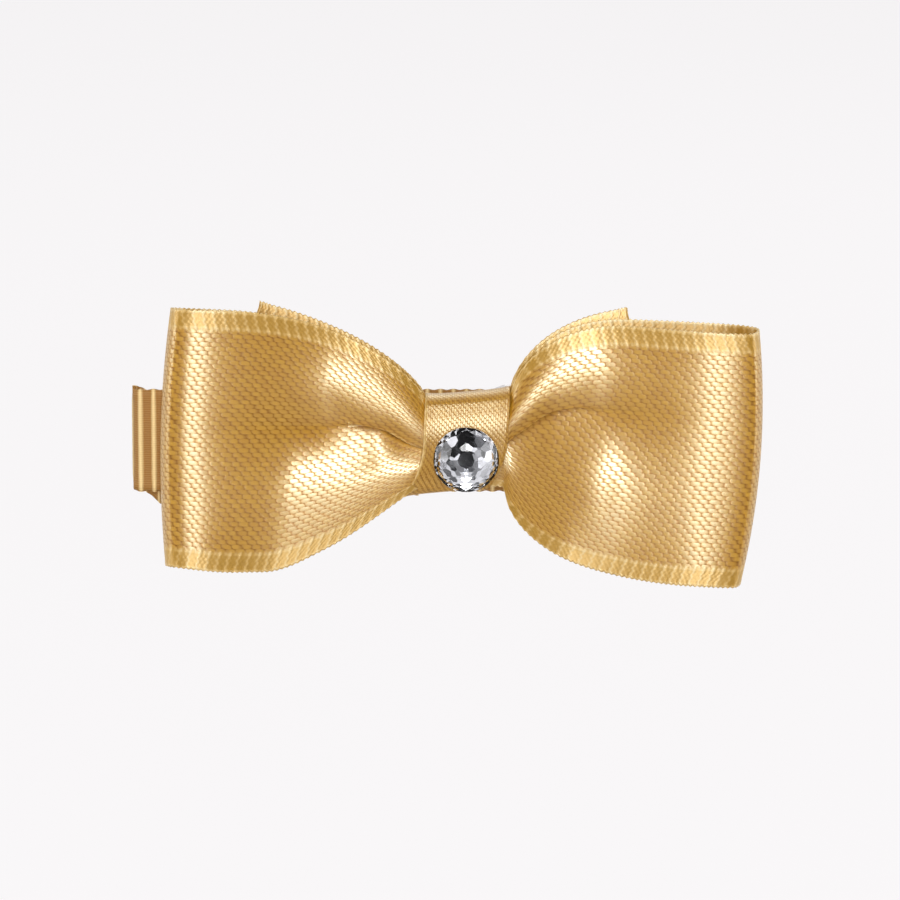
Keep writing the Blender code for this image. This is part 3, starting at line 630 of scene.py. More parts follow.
def glass_material(name, colour):
    """Polished glass with hardly any scratches."""
    look, tree, shader, wear = worn_material(name)
    tree.feed(shader, {
        "Base Color": colour,
        "Roughness": tree.calc("MULTIPLY", wear["Scratch"], 0.03),
        "Transmission Weight": 1.0,
        "IOR": 1.58,
    })
    return look


def foil_material(name, finish):
    """Silver foil with slightly duller patches."""
    look, tree, shader, wear = worn_material(name, Patch_Scale=1500.0)
    tree.feed(shader, {
        "Base Color": tree.blend(wear["Patch"], finish.foil_deep, finish.foil),
        "Metallic": 1.0,
        "Roughness": 0.04,
    })
    return look


# Bow

class FrontLine(NamedTuple):
    """One line along the front of a loop, in millimetres from the knot and above the lining."""
    start: float  # depth at the wrap, against the front of the waist
    full: float  # where the line comes to its plateau
    plateau: float  # depth of the plateau
    swell: float  # where the line starts to swell to the crest
    hollow: float = 0.0  # how hollow the line is before its plateau, from 0 to 1


class LoopForm(NamedTuple):
    """Form of one loop. Lengths are in millimetres, places across the ribbon from -1 to 1."""
    flat: float  # share of the reach where the crest starts
    turn: float  # share of the reach where the crest turns into the fold
    crease: tuple  # place of the crease across the ribbon, at the wrap and out on the loop
    upper_edge: tuple  # run from the wrap in which the upper edge opens, and its power
    lower_edge: tuple  # the same for the lower edge
    belly: float  # how far the lower edge hangs down
    lean: float  # shift to the right of the fold's upper edge against its middle
    bulge: float  # shift to the right of the fold's middle against its edges
    lines: dict  # lines along the front, from its top edge to its bottom edge


class Loop(NamedTuple):
    """One loop with its sizes in metres."""
    form: LoopForm
    reach: float
    crest: float
    wrap_edge: float


LEFT_FORM = LoopForm(
    flat=0.89, turn=0.945, crease=(-0.2, 0.1), upper_edge=(19.8, 0.71), lower_edge=(14.5, 1.1),
    belly=0.75, lean=-0.2, bulge=-0.7,
    lines={"top": FrontLine(-0.25, 7.0, 5.5, 11.5), "upper": FrontLine(0.8, 6.2, 6.2, 13.4),
           "valley": FrontLine(-0.8, 5.0, 4.3, 9.5), "lower": FrontLine(0.8, 5.4, 6.9, 16.4),
           "bottom": FrontLine(-0.25, 6.0, 6.4, 17.5)})
RIGHT_FORM = LoopForm(
    flat=0.845, turn=0.945, crease=(0.08, 0.32), upper_edge=(11.5, 0.54), lower_edge=(17.5, 0.52),
    belly=0.0, lean=0.22, bulge=1.0,
    lines={"top": FrontLine(-0.25, 8.0, 5.7, 11.5), "upper": FrontLine(0.8, 6.3, 6.4, 12.0),
           "valley": FrontLine(-0.8, 5.0, 4.7, 7.0), "lower": FrontLine(0.15, 13.5, 7.2, 14.5, 0.6),
           "bottom": FrontLine(-0.25, 10.5, 6.5, 12.5, 0.7)})

# Rows for each bump of the woven edge, the height of a bump and the place across where it starts
PICOT_ROWS = 2
PICOT_HEIGHT = 0.15 * MM
PICOT_START = 0.98

# Tails: how far they rise, how far the left one dips behind the waist at its end, halfway and at the
# wrap, and the depth of the right one's end
TAIL_LEFT_RISE = 0.55 * MM
TAIL_RIGHT_RISE = 0.9 * MM
TAIL_LEFT_DIP = (0.2 * MM, 0.5 * MM, 0.1 * MM)
TAIL_RIGHT_DEPTH = 1.0 * MM

# Back of the left loop: how far it nests under the right one and sags, how soon, and the share of the
# reach from which the fold carries the sag to the front
BACK_NEST = 0.25 * MM
BACK_SAG = 0.85 * MM
SAG_RATE = 1.4
SAG_FOLD = 0.85

# Curves over the distance from the knot in millimetres: how far the gathers have spread, how the
# crease starts, how sharp it is, how deep the pleats behind it are, and where the belly hangs
SPREAD = ((3.0, 0.0), (8.5, 1.0))
CREASE_START = ((0.0, 0.0), (3.0, 1.0))
CREASE_FOLD = ((8.0, 1.0), (14.0, 0.0))
PLEAT_BEHIND = ((8.5, 0.8), (20.0, 0.0))
BELLY = ((9.0, 0.0), (15.0, 1.0), (17.0, 1.0), (25.0, 0.4))

# Share of the lean and the bulge over the share of a loop's reach
OUTWARD = ((0.7, 0.0), (1.0, 1.0))

# Lift in millimetres over the place across: up in the crease, down on the lip that hangs over it
LIP = ((-0.3, 0.0), (0.0, 0.6), (0.1, -0.3), (0.4, 0.0))

# Trim of the tails' upper corners: millimetres over the distance from the end, share over the place across
TAIL_TRIM = ((0.0, 0.6), (2.0, 0.0))
TRIM_ACROSS = ((0.8, 0.0), (1.0, 1.0))

# Front lines: where they leave the wrap and where a hollow one rises, in millimetres from the knot,
# and how straight they swell to the crest, from 0 to 1
WAIST_END = 1.2
HOLLOW_START = 3.5
SWELL_FIRM = 0.2

# Powers of the lobes: at the edges, under the crease, and above it where it is open and where it is sharp
LOBE_POWER = 1.6
LOWER_POWER = 1.9
OPEN_POWER = 1.8
SHARP_POWER = 3.6

# Depth of the pleats behind the front, against their height: at the valley and at the edges
VALLEY_DEPTH = 2.0
EDGE_DEPTH = 1.3


def bow_place(along, forward, up, roll):
    """A place on the bow, which sits on the clip with a slight roll."""
    return BOW_SEAT + Matrix.Rotation(roll, 3, "Y") @ Vector((along, -forward, up))


def pick_loop(bow, knot, right):
    if right:
        return Loop(RIGHT_FORM, bow.right, bow.crest_right, knot.right)
    return Loop(LEFT_FORM, bow.left, bow.crest_left, knot.left)


def loop_points(bow, loop, layer):
    """One loop from the side: from the waist at the back, round the fold, to the front waist.

    The points behind the fold come first, then those of the front, each as (along, depth).
    """
    edge = loop.wrap_edge
    reach = loop.reach
    crest = loop.crest
    flat = loop.form.flat
    turn = loop.form.turn
    behind = bow.waist + layer * bow.layer
    front = bow.waist + bow.layer
    back = bow.back + BACK_NEST * min(layer, 0)
    room = crest - back
    hidden = [(edge, mix(behind, back, 0.25)), (mix(edge, reach, 0.14), mix(behind, back, 0.55)),
              (mix(edge, reach, 0.36), mix(behind, back, 0.9)), (0.72 * reach, back),
              (0.90 * reach, back + 0.06 * room), (0.98 * reach, back + 0.22 * room)]
    shown = [(reach, back + 0.5 * room), (mix(turn, 1.0, 0.75) * reach, crest - 0.16 * room),
             (mix(turn, 1.0, 0.2) * reach, crest - 0.02 * room), (flat * reach, crest)]
    rise = ((0.85 * flat, 0.9), (0.6, 0.5), (0.5, 0.34), (0.25, 0.15))
    shown += [(share * reach, mix(front, crest, height)) for share, height in rise]
    shown.append((edge, mix(front, crest, 0.05)))
    return hidden, shown


def bow_path(bow, knot):
    """The strip from the side: left tail, right loop, left loop, right tail.

    Each place is (along, depth, front, rise): front is 1 on the shown layer and 0 behind it,
    and rise lifts the tails and lets the back of the left loop sag.
    """
    outer = bow.waist - bow.layer
    low = TAIL_RIGHT_DEPTH
    end_dip, half_dip, wrap_dip = TAIL_LEFT_DIP
    path = [(-bow.tail_left, bow.waist - end_dip, 0.0, TAIL_LEFT_RISE)]
    path.append((mix(-knot.left, -bow.tail_left, 0.55), bow.waist - half_dip, 0.0, 0.1 * TAIL_LEFT_RISE))
    path += [(-knot.left, bow.waist - wrap_dip, 0.0, 0.0), (0.0, bow.waist, 0.0, 0.0)]
    hidden, shown = loop_points(bow, pick_loop(bow, knot, True), 0)
    path += [(x, depth, 0.0, 0.0) for x, depth in hidden]
    path += [(x, depth, 1.0, 0.0) for x, depth in shown]
    path.append((0.0, bow.waist + bow.layer, 1.0, 0.0))
    hidden, shown = loop_points(bow, pick_loop(bow, knot, False), -1)
    for side, front in ((shown, 1.0), (hidden, 0.0)):
        for x, depth in reversed(side):
            sag = (1.0 - front) * smooth(SAG_RATE * x / bow.left)
            if x > SAG_FOLD * bow.left:
                sag = (bow.crest_left - depth) / (bow.crest_left - bow.back)
            path.append((-x, depth, front, -BACK_SAG * sag))
    path += [(0.0, outer, 0.0, 0.0), (knot.right, mix(outer, low, 0.3), 0.0, 0.0)]
    path.append((mix(knot.right, bow.tail_right, 0.5), mix(outer, low, 0.85), 0.0, 0.25 * TAIL_RIGHT_RISE))
    path.append((bow.tail_right, low, 0.0, TAIL_RIGHT_RISE))
    return path


def edge_height(bow, out, opening):
    """Height of one edge of the strip above the middle of the bow, out from the wrap."""
    run, power = opening
    share = clamp(out / run) ** power
    return 0.5 * mix(bow.waist_height, bow.width, math.sin(0.5 * math.pi * share))


def front_depth(line, away, base, crest_away, crest):
    """Depth of one line of the front: from the wrap up to its plateau, then up to the crest."""
    if away < line.full:
        left = 1.0 - clamp((away - WAIST_END) / (line.full - WAIST_END))
        late = smooth((away - HOLLOW_START) / (line.full - HOLLOW_START))
        return mix(base + line.start, line.plateau, mix(1.0 - left * left, late, line.hollow))
    share = clamp((away - line.swell) / (crest_away - line.swell))
    return mix(line.plateau, crest, mix(smooth(share), share, SWELL_FIRM))


def front_lines(bow, loop, away):
    """Depths of the lines of a loop's front, at a distance from the knot in millimetres."""
    base = (bow.waist + bow.layer) / MM
    crest_away = loop.form.flat * loop.reach / MM
    return {name: front_depth(line, away, base, crest_away, loop.crest / MM) * MM
            for name, line in loop.form.lines.items()}


def off_lobe(across):
    """How far a place across lies from the top of its lobe: 0 on it, 1 at the crease and the edges."""
    return abs(1.0 - 2.0 * abs(across))


def front_form(lines, across, fold):
    """Depth across the front: two round lobes, a sharp crease between them, and receding edges."""
    upper = across > 0.0
    if abs(across) < 0.5:
        end = lines["valley"]
        power = mix(OPEN_POWER, SHARP_POWER, fold) if upper else LOWER_POWER
    else:
        end = lines["top" if upper else "bottom"]
        power = LOBE_POWER
    return mix(lines["upper" if upper else "lower"], end, off_lobe(across) ** power)


def pleat_form(across):
    """Two round lobes with a sharp valley between them, for the layers behind the front."""
    low = VALLEY_DEPTH if abs(across) < 0.5 else EDGE_DEPTH
    return 1.0 - low * off_lobe(across) ** LOBE_POWER


def bow_columns():
    """Places across the ribbon from -1 to 1, closer together at the crease and the woven edges."""
    half = [0.025, 0.05, 0.075, 0.1, 0.14, 0.19] + [step / 20.0 for step in range(5, 19)]
    half += [0.925, 0.96, 0.985, 1.0]
    return [-place for place in reversed(half)] + [0.0] + half


def bow_rows(bow, knot):
    """Rows across the ribbon, all along its path through the loops and tails."""
    rows = []
    columns = bow_columns()
    places = even_points(bow_path(bow, knot), bow.picot / PICOT_ROWS)
    for travelled, (x, depth, front, rise) in places:
        front = clamp(front)
        loop = pick_loop(bow, knot, x > 0.0)
        form = loop.form
        away = abs(x) / MM
        out = (abs(x) - loop.wrap_edge) / MM
        up = edge_height(bow, out, form.upper_edge)
        down = edge_height(bow, out, form.lower_edge) + form.belly * curve_value(BELLY, out) * MM
        spread = curve_value(SPREAD, away)
        crease_near, crease_out = form.crease
        middle = mix(crease_near * curve_value(CREASE_START, away), crease_out, spread)
        outward = curve_value(OUTWARD, abs(x) / loop.reach) * MM
        lift = rise + mix(knot.rise, bow.lift, spread)
        end = min(travelled, places[-1][0] - travelled)
        trim = math.copysign(curve_value(TAIL_TRIM, end / MM) * MM, x)
        bump = PICOT_HEIGHT * abs(math.cos(math.pi * travelled / bow.picot))
        pleat = (1.0 - front) * curve_value(PLEAT_BEHIND, away) * MM
        lines = front_lines(bow, loop, away)
        fold = front * curve_value(CREASE_FOLD, away)
        shown = front > 0.999 and abs(x) < form.flat * loop.reach
        row = []
        for across in columns:
            side = middle + across - abs(across) * middle
            height = side * (up if side > 0.0 else down) + lift
            if abs(across) > PICOT_START:
                height += math.copysign(bump, across)
            along = x + outward * (form.bulge * (0.5 - side * side) + form.lean * side)
            along -= trim * curve_value(TRIM_ACROSS, side)
            forward = depth + pleat * pleat_form(across)
            if shown:
                height += curve_value(LIP, across) * fold * MM
                forward = front_form(lines, across, fold)
            row.append((bow_place(along, forward, height, bow.roll), 0.5 * side * bow.width, travelled))
        rows.append(row)
    return rows


class HAIRCLIP_OT_bow(bpy.types.Operator):
    """Fold the satin ribbon into the bow's two loops and two tails"""
    bl_idname = "hairclip.bow"
    bl_label = "Satin Bow"

    def execute(self, context):
        settings = context.scene.hair_clip
        bow = settings.bow
        look = satin_material("satin_gold_ribbon", settings.finish, 0.5 * bow.width / MM, **BOW_WEAVE)
        rows = bow_rows(bow, settings.knot)
        piece = strip("satin_bow", rows, bow.thick, look)
        fit(piece, "bow_ribbon")
        return {"FINISHED"}


# Knot

# Ring of the wrap and the thread: how square it is, then the wrap's rows, half columns and flare
RING_POWER = 2.7
WRAP_STEPS = 132
WRAP_COLUMNS = 12
WRAP_FLARE = 0.2 * MM

# Lap of the wrap at the back: where it ends, and its height in millimetres over the share of the strip
LAP_ANGLE = math.radians(25.0)
LAP = ((0.8, 0.0), (0.92, 0.45))

# Sway of the wrap to the left, in millimetres: by the square of how far it lies under the start
SWAY = 0.06
SWAY_START = 1.2

# Thread round the waist: turns, steps in a turn, distance between turns, half height and half depth
THREAD_TURNS = 3
THREAD_STEPS = 40
THREAD_SPACE = 0.55 * MM
THREAD_HALF_Z = 4.1 * MM
THREAD_HALF_Y = 2.25 * MM


def knot_ring(bow, turn, half_z, half_y):
    """A place on the rounded ring round the waist, as (forward, up)."""
    power = 2.0 / RING_POWER
    c = math.cos(turn)
    s = math.sin(turn)
    forward = bow.waist + half_y * math.copysign(abs(c) ** power, c)
    return forward, half_z * math.copysign(abs(s) ** power, s)


def wrap_rows(bow, knot):
    """Satin strip once round the waist, its end lapped over its start at the back."""
    rows = []
    travelled = 0.0
    before = None
    for step in range(WRAP_STEPS + 1):
        share = step / WRAP_STEPS
        turn = mix(math.pi - LAP_ANGLE, -math.pi - LAP_ANGLE, share)
        over = curve_value(LAP, share) * MM
        middle = Vector(knot_ring(bow, turn, knot.half_height, knot.half_depth))
        if before is not None:
            travelled += (middle - before).length
        before = middle
        row = []
        for column in range(-WRAP_COLUMNS, WRAP_COLUMNS + 1):
            side = column / WRAP_COLUMNS
            along = side * (knot.left if side < 0.0 else knot.right)
            flare = WRAP_FLARE * side ** 4 + over
            forward, up = knot_ring(bow, turn, knot.half_height + flare, knot.half_depth + flare)
            up += knot.rise
            sway = SWAY * min(up / MM - SWAY_START, 0.0) ** 2 * MM
            point = bow_place(along - sway, forward, up + along * math.tan(knot.tilt), bow.roll)
            row.append((point, along, travelled))
        rows.append(row)
    return rows


def thread_points(bow, knot):
    """Turns of thread round the gathered waist, under the wrap."""
    points = []
    count = THREAD_STEPS * THREAD_TURNS
    for step in range(count + 1):
        share = step / count
        turn = math.pi + math.tau * THREAD_TURNS * share
        forward, up = knot_ring(bow, turn, THREAD_HALF_Z, THREAD_HALF_Y)
        along = (share - 0.5) * THREAD_SPACE * THREAD_TURNS
        points.append(bow_place(along, forward, up + knot.rise, bow.roll))
    return points


class HAIRCLIP_OT_knot(bpy.types.Operator):
    """Wrap the satin strip and the tying thread round the bow's waist"""
    bl_idname = "hairclip.knot"
    bl_label = "Knot Wrap"

    def execute(self, context):
        settings = context.scene.hair_clip
        bow = settings.bow
        knot = settings.knot
        finish = settings.finish
        half = 0.5 * (knot.left + knot.right) / MM
        look = satin_material("satin_gold_wrap_strip", finish, half, **WRAP_WEAVE)
        wrap = strip("satin_wrap", wrap_rows(bow, knot), knot.thick, look)
        fit(wrap, "knot_wrap")
        look = thread_material("gold_thread_ply", finish.thread)
        thread = tube("tying_thread", thread_points(bow, knot), knot.thread, look, ply=0.25, ply_turn=0.5)
        fit(thread, "waist_thread")
        return {"FINISHED"}


# Lining

# Lining: where its two ends lie before the pin and inside the handle
UNDER_END = 3.0 * MM
HANDLE_TUCK = 6.5 * MM

# Slip of the lining down the jaw: its front, its flap under the jaw at the tip and at the hinge, and
# the runs over which the flap slips and leaves the tip
FRONT_SLIP = 0.18 * MM
FLAP_SLIP = 2.2 * MM
FLAP_SLIP_END = 0.75 * MM
FLAP_RUN = 29.5 * MM
FLAP_START = 3.4 * MM

# Ribs: rows for each rib, columns in half the width, their height, form and level, the share of the
# lining's thickness that lies under them, and the flatter ribs and small waves of the woven edge
RIB_ROWS = 8
RIB_COLUMNS = 8
RIB_HEIGHT = 0.2 * MM
RIB_POWER = 5
RIB_LEVEL = 0.8
RIB_BASE = 0.9
RIB_EDGE_START = 0.42
RIB_EDGE_SHARE = 0.3
RIB_EDGE_WAVE = 0.012


def lining_path(clip):
    """The strip from the side: under the jaw, round its tip, along the front, round the handle."""
    inner = LINING_HIGH.y - 0.5 * clip.lining_thick
    outer = LINING_LOW.y + 0.5 * clip.lining_thick
    radius = 0.5 * (inner - outer)
    middle = 0.5 * (inner + outer)
    tip_x = LINING_LOW.x + radius + 0.5 * clip.lining_thick
    handle_x = LINING_HIGH.x - radius - 0.5 * clip.lining_thick
    tip = arc((tip_x, middle), radius, 0.5 * math.pi, 1.5 * math.pi, 8)
    handle = arc((handle_x, middle), radius, -0.5 * math.pi, 0.5 * math.pi, 8)
    return [(PIN.x - UNDER_END, inner)] + tip + handle + [(handle_x - HANDLE_TUCK, inner)]


def rib_wave(travelled, clip):
    return math.cos(math.tau * travelled / clip.rib)


def lining_rows(clip):
    """Rows across the strip along its path, with the flap under the jaw slipped down."""
    rows = []
    path = lining_path(clip)
    tip_x = min(x for x, y in path)
    turn_y = 0.5 * (LINING_LOW.y + LINING_HIGH.y)
    for travelled, (x, y) in even_points(path, clip.rib / RIB_ROWS, 1):
        slip = FRONT_SLIP
        if y > turn_y and x < PIN.x:
            run = x - tip_x
            slip = mix(FLAP_SLIP, FLAP_SLIP_END, run / FLAP_RUN) * smooth(run / FLAP_START)
        row = []
        for column in range(-RIB_COLUMNS, RIB_COLUMNS + 1):
            across = 0.5 * clip.lining * column / RIB_COLUMNS
            if abs(column) == RIB_COLUMNS:
                across *= 1.0 + RIB_EDGE_WAVE * rib_wave(travelled, clip)
            row.append(((x, y, across - slip), across, travelled))
        rows.append(row)
    return rows


def rib_rows(rows, clip):
    """Lift the outer side of the strip into ribs by moving each row along its own normal."""
    lifted = []
    for number, row in enumerate(rows):
        before = Vector(rows[max(number - 1, 0)][0][0])
        after = Vector(rows[min(number + 1, len(rows) - 1)][0][0])
        along = after - before
        out = Vector((along.y, -along.x, 0.0)).normalized()
        wave = 0.5 + 0.5 * rib_wave(row[0][2], clip)
        rib = RIB_HEIGHT * (wave ** RIB_POWER - RIB_LEVEL)
        new_row = []
        for place, across, travelled in row:
            share = RIB_EDGE_SHARE if abs(across) > RIB_EDGE_START * clip.lining else 1.0
            new_row.append((Vector(place) + out * share * rib, across, travelled))
        lifted.append(new_row)
    return lifted


class HAIRCLIP_OT_lining(bpy.types.Operator):
    """Fold the grosgrain ribbon round the fixed jaw"""
    bl_idname = "hairclip.lining"
    bl_label = "Grosgrain Lining"

    def execute(self, context):
        settings = context.scene.hair_clip
        clip = settings.clip
        look = grosgrain_material("grosgrain_gold_ribbon", settings.finish, clip)
        rows = lining_rows(clip)
        piece = strip("grosgrain_lining", rib_rows(rows, clip), RIB_BASE * clip.lining_thick, look)
        fit(piece, "jaw_lining")
        return {"FINISHED"}


# Metal

class HAIRCLIP_OT_jaws(bpy.types.Operator):
    """Plate the two jaws and the hinge pin"""
    bl_idname = "hairclip.jaws"
    bl_label = "Plated Jaws"

    def execute(self, context):
        steel = context.scene.hair_clip.finish.steel
        coat({"upper_jaw": steel_material("nickel_blade", steel, roughness=0.22),
              "lower_jaw": steel_material("nickel_lever", steel, roughness=0.2),
              "hinge_pin": steel_material("nickel_pin", steel, roughness=0.26)})
        return {"FINISHED"}


# Spring: its legs and coil, the clearance to the jaws, and where the jaws lie that its legs rest on
UPPER_LEG = 7.4 * MM
LOWER_LEG = 9.0 * MM
LEG_STEPS = 10
COIL_TURNS = 3
COIL_STEPS = 40
COIL_PITCH = 0.85 * MM
WIRE_CLEAR = 0.1 * MM
PLATE_BACK = -0.55 * MM
LEVER_FRONT = 5.2 * MM
LEVER_BEND = 2.2 * MM
LEVER_ANGLE = math.radians(22.0)

# Shade of the wire against the jaws
WIRE_SHADE = 0.8


def spring_points(clip):
    """Coil round the pin with one leg on each handle, both leaving along tangents."""
    clear = clip.wire + WIRE_CLEAR
    upper = math.hypot(UPPER_LEG, clip.coil)
    first = math.asin((PLATE_BACK + clear - PIN.y) / upper) + math.atan2(clip.coil, UPPER_LEG)
    rise = LEVER_FRONT - PIN.y
    away = rise * math.cos(LEVER_ANGLE) - LEVER_BEND * math.sin(LEVER_ANGLE) - clear
    lower = math.hypot(LOWER_LEG, clip.coil)
    last = LEVER_ANGLE + math.asin(away / lower) - math.atan2(clip.coil, LOWER_LEG)
    start = first - 0.5 * math.pi
    end = 0.5 * math.pi + last - math.tau * COIL_TURNS
    width = COIL_PITCH * (start - end) / math.tau

    def place(turn, z, leg=0.0, heading=0.0):
        x = clip.coil * math.cos(turn) + leg * math.cos(heading)
        y = clip.coil * math.sin(turn) + leg * math.sin(heading)
        return PIN.x + x, PIN.y + y, z

    legs = range(1, LEG_STEPS + 1)
    points = [place(start, -0.5 * width, UPPER_LEG * step / LEG_STEPS, first) for step in reversed(legs)]
    count = COIL_STEPS * COIL_TURNS
    for step in range(count + 1):
        share = step / count
        points.append(place(mix(start, end, share), (share - 0.5) * width))
    points += [place(end, 0.5 * width, LOWER_LEG * step / LEG_STEPS, last) for step in legs]
    return points


class HAIRCLIP_OT_spring(bpy.types.Operator):
    """Wind the torsion spring round the hinge pin"""
    bl_idname = "hairclip.spring"
    bl_label = "Torsion Spring"

    def execute(self, context):
        settings = context.scene.hair_clip
        clip = settings.clip
        steel = [WIRE_SHADE * part for part in settings.finish.steel]
        look = steel_material("spring_wire_steel", steel, roughness=0.24)
        piece = tube("coil_spring", spring_points(clip), clip.wire, look)
        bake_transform(piece)
        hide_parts("torsion_spring")
        return {"FINISHED"}


# Stone and glue

# Heights of the girdle and of the rim under it, as shares of the stone's depth
GIRDLE = 0.282
RIM = 0.154

# Rings of facets: their count, the turn of the first as a share of a step, their lean from the front
# in degrees, and the radius and the height that they pass, as shares of the stone's
FACETS = ((8, 0.5, 40.0, 1.0, GIRDLE), (8, 0.0, 20.0, 0.36, 1.0), (16, 0.5, 50.0, 0.99, GIRDLE),
          (16, 0.5, 169.0, 0.985, RIM), (8, 0.0, 172.5, 0.8, 0.63 * RIM), (8, 0.5, 176.0, 0.24, 0.0))

# Foil: its distance behind the glass and its thickness
FOIL_GAP = 0.02 * MM
FOIL_THICK = 0.05 * MM


def cut_facet(bm, centre, turn, tilt, radius, forward):
    """Cut one flat facet: its plane leans by tilt from the front and passes the given place."""
    out = Vector((math.cos(turn), 0.0, math.sin(turn)))
    normal = out * math.sin(tilt) + Vector((0.0, -math.cos(tilt), 0.0))
    place = centre + out * radius + Vector((0.0, -forward, 0.0))
    everything = list(bm.verts) + list(bm.edges) + list(bm.faces)
    cut = bmesh.ops.bisect_plane(bm, geom=everything, dist=1e-8, plane_co=place, plane_no=normal,
                                 clear_outer=True)
    rim = [part for part in cut["geom_cut"] if isinstance(part, bmesh.types.BMEdge)]
    bmesh.ops.edgeloop_fill(bm, edges=rim)


def cut_stone(look):
    """Brilliant-cut glass: a round blank with its crown and back facets cut one by one."""
    radius = 0.5 * (STONE_HIGH.x - STONE_LOW.x)
    deep = STONE_HIGH.y - STONE_LOW.y
    middle = 0.5 * (STONE_LOW + STONE_HIGH)
    centre = Vector((middle.x, STONE_HIGH.y, middle.z))
    bm = bmesh.new()
    bmesh.ops.create_cone(bm, cap_ends=True, segments=64, radius1=radius, radius2=radius, depth=deep,
                          matrix=Matrix.Translation(middle) @ Matrix.Rotation(0.5 * math.pi, 4, "X"))
    for count, first, tilt, across, height in FACETS:
        for step in range(count):
            turn = math.tau * (step + first) / count
            cut_facet(bm, centre, turn, math.radians(tilt), across * radius, height * deep)
    bmesh.ops.recalc_face_normals(bm, faces=bm.faces)
    return add_object("cut_stone", bm, look, faceted=True)


def mirror_foil(stone, look):
    """Foil behind the stone, on each of its back facets."""
    bm = bmesh.new()
    bm.from_mesh(stone.data)
    shown = [face for face in bm.faces if face.normal.y < 0.5]
    bmesh.ops.delete(bm, geom=shown, context="FACES")
    bmesh.ops.translate(bm, vec=(0.0, FOIL_GAP, 0.0), verts=bm.verts)
    piece = add_object("mirror_foil", bm, look, faceted=True)
    thicken(piece, FOIL_THICK, 1.0)
    return piece


class HAIRCLIP_OT_stone(bpy.types.Operator):
    """Cut the rhinestone, back it with foil, and tint the glue under it and under the bow"""
    bl_idname = "hairclip.stone"
    bl_label = "Rhinestone"

    def execute(self, context):
        finish = context.scene.hair_clip.finish
        stone = cut_stone(glass_material("cut_crystal", finish.glass))
        fit(stone, "rhinestone")
        foil = mirror_foil(stone, foil_material("silver_foil", finish))
        fit(foil, "rhinestone_foil")
        coat({"rhinestone_glue": glue_material("clear_glue_dab", finish.dab, clear=0.6),
              "bow_glue_pad": glue_material("hot_glue_pad", finish.glue, clear=0.35)})
        return {"FINISHED"}


# Studio

# Place that the camera and the lights look at
TARGET = Vector((15.07, -5.0, -0.486)) * MM

# Soft lights: the setting that holds the power, the place and the size in metres
LIGHTS = {"key_light": ("key", (0.015, -0.74, 0.15), (0.07, 0.36)),
          "top_light": ("top", (0.015, -0.46, 0.52), (0.1, 0.56)),
          "left_light": ("side", (-0.57, 0.0, 0.12), (0.36, 0.4)),
          "right_light": ("side", (0.6, 0.0, 0.12), (0.36, 0.4)),
          "back_light": ("back", (0.25, 0.6, 0.45), (0.6, 0.5))}

# What the paper shows: the least of its glow, its glow in a gloss and through glass, its own level,
# and the share of it that hides the shadow
PAPER_LEAST = 0.01
PAPER_GLOSS = 1.0
PAPER_GLASS = 1.35
PAPER_LEVEL = 1.04
PAPER_SHARE = 0.92

# How far the floor reaches, in metres
FLOOR_REACH = 6.0


def place_item(name, data, place):
    """Put a camera or a light into the scene, turned to the clip."""
    item = bpy.data.objects.new(name, data)
    bpy.context.scene.collection.objects.link(item)
    item.location = place
    item.rotation_mode = "QUATERNION"
    item.rotation_quaternion = (TARGET - Vector(place)).to_track_quat("-Z", "Y")
    return item


def soft_light(name, place, size, power):
    lamp = bpy.data.lights.new(name, "AREA")
    lamp.shape = "RECTANGLE"
    lamp.size = size[0]
    lamp.size_y = size[1]
    lamp.energy = power
    place_item(name, lamp, place)


def shown_ray(tree):
    """1 for rays that the camera, a gloss or a glass sends, else 0."""
    path = tree.add("ShaderNodeLightPath").outputs
    seen = tree.calc("MAXIMUM", path["Is Camera Ray"], path["Is Glossy Ray"])
    return tree.calc("MAXIMUM", seen, path["Is Transmission Ray"])


def furnish(tree, pale, place, scale):
    """What the glass sees of a furnished room: soft-edged patches that turn pale dark and dark pale."""
    patches = tree.between(tree.noise(place, scale, 1.0), 0.53, 0.55, 0.0, 0.9)
    return tree.calc("ABSOLUTE", tree.calc("SUBTRACT", pale, patches))


def paper_material(paper):
    """Pale paper that shows its colour to the eye and keeps a share of the shadow.

    What is reflected of it fades on the camera's side, away from the clip, where the room is dark.
    """
    look, tree, shader = new_material("pale_paper")
    tree.feed(shader, {"Base Color": paper, "Roughness": 0.9})
    path = tree.add("ShaderNodeLightPath").outputs
    spot = tree.add("ShaderNodeNewGeometry").outputs["Position"]
    split = tree.split(spot)
    square = tree.calc("ADD", tree.calc("POWER", split["X"], 2.0), tree.calc("POWER", split["Y"], 2.0))
    near = tree.between(tree.calc("SQRT", square), 0.12, 0.05, 0.0, 0.2)
    behind = tree.between(split["Y"], 0.0, 0.2)
    gloss = tree.calc("MAXIMUM", behind, near)
    glass = tree.calc("MAXIMUM", behind, tree.between(split["X"], 0.0, -0.1))
    glass = furnish(tree, glass, spot, 31.0)
    through = path["Is Transmission Ray"]
    mirrored = tree.calc("MAXIMUM", tree.calc("SUBTRACT", path["Is Glossy Ray"], through), 0.0)
    level = 1.0
    for kind, seen, full in ((mirrored, gloss, PAPER_GLOSS), (through, glass, PAPER_GLASS)):
        seen = tree.total(PAPER_LEAST, (seen, full - PAPER_LEAST))
        level = tree.total(level, (kind, tree.calc("SUBTRACT", seen, 1.0)))
    strength = tree.calc("MULTIPLY", level, PAPER_LEVEL)
    glow = tree.add("ShaderNodeEmission", {"Color": paper, "Strength": strength})
    share = tree.calc("MAXIMUM", tree.calc("MULTIPLY", shown_ray(tree), PAPER_SHARE), through)
    both = tree.add("ShaderNodeMixShader", {0: share, 1: shader.outputs[0], 2: glow.outputs[0]})
    tree.feed(look.node_tree.nodes["Material Output"], {"Surface": both.outputs[0]})
    return look


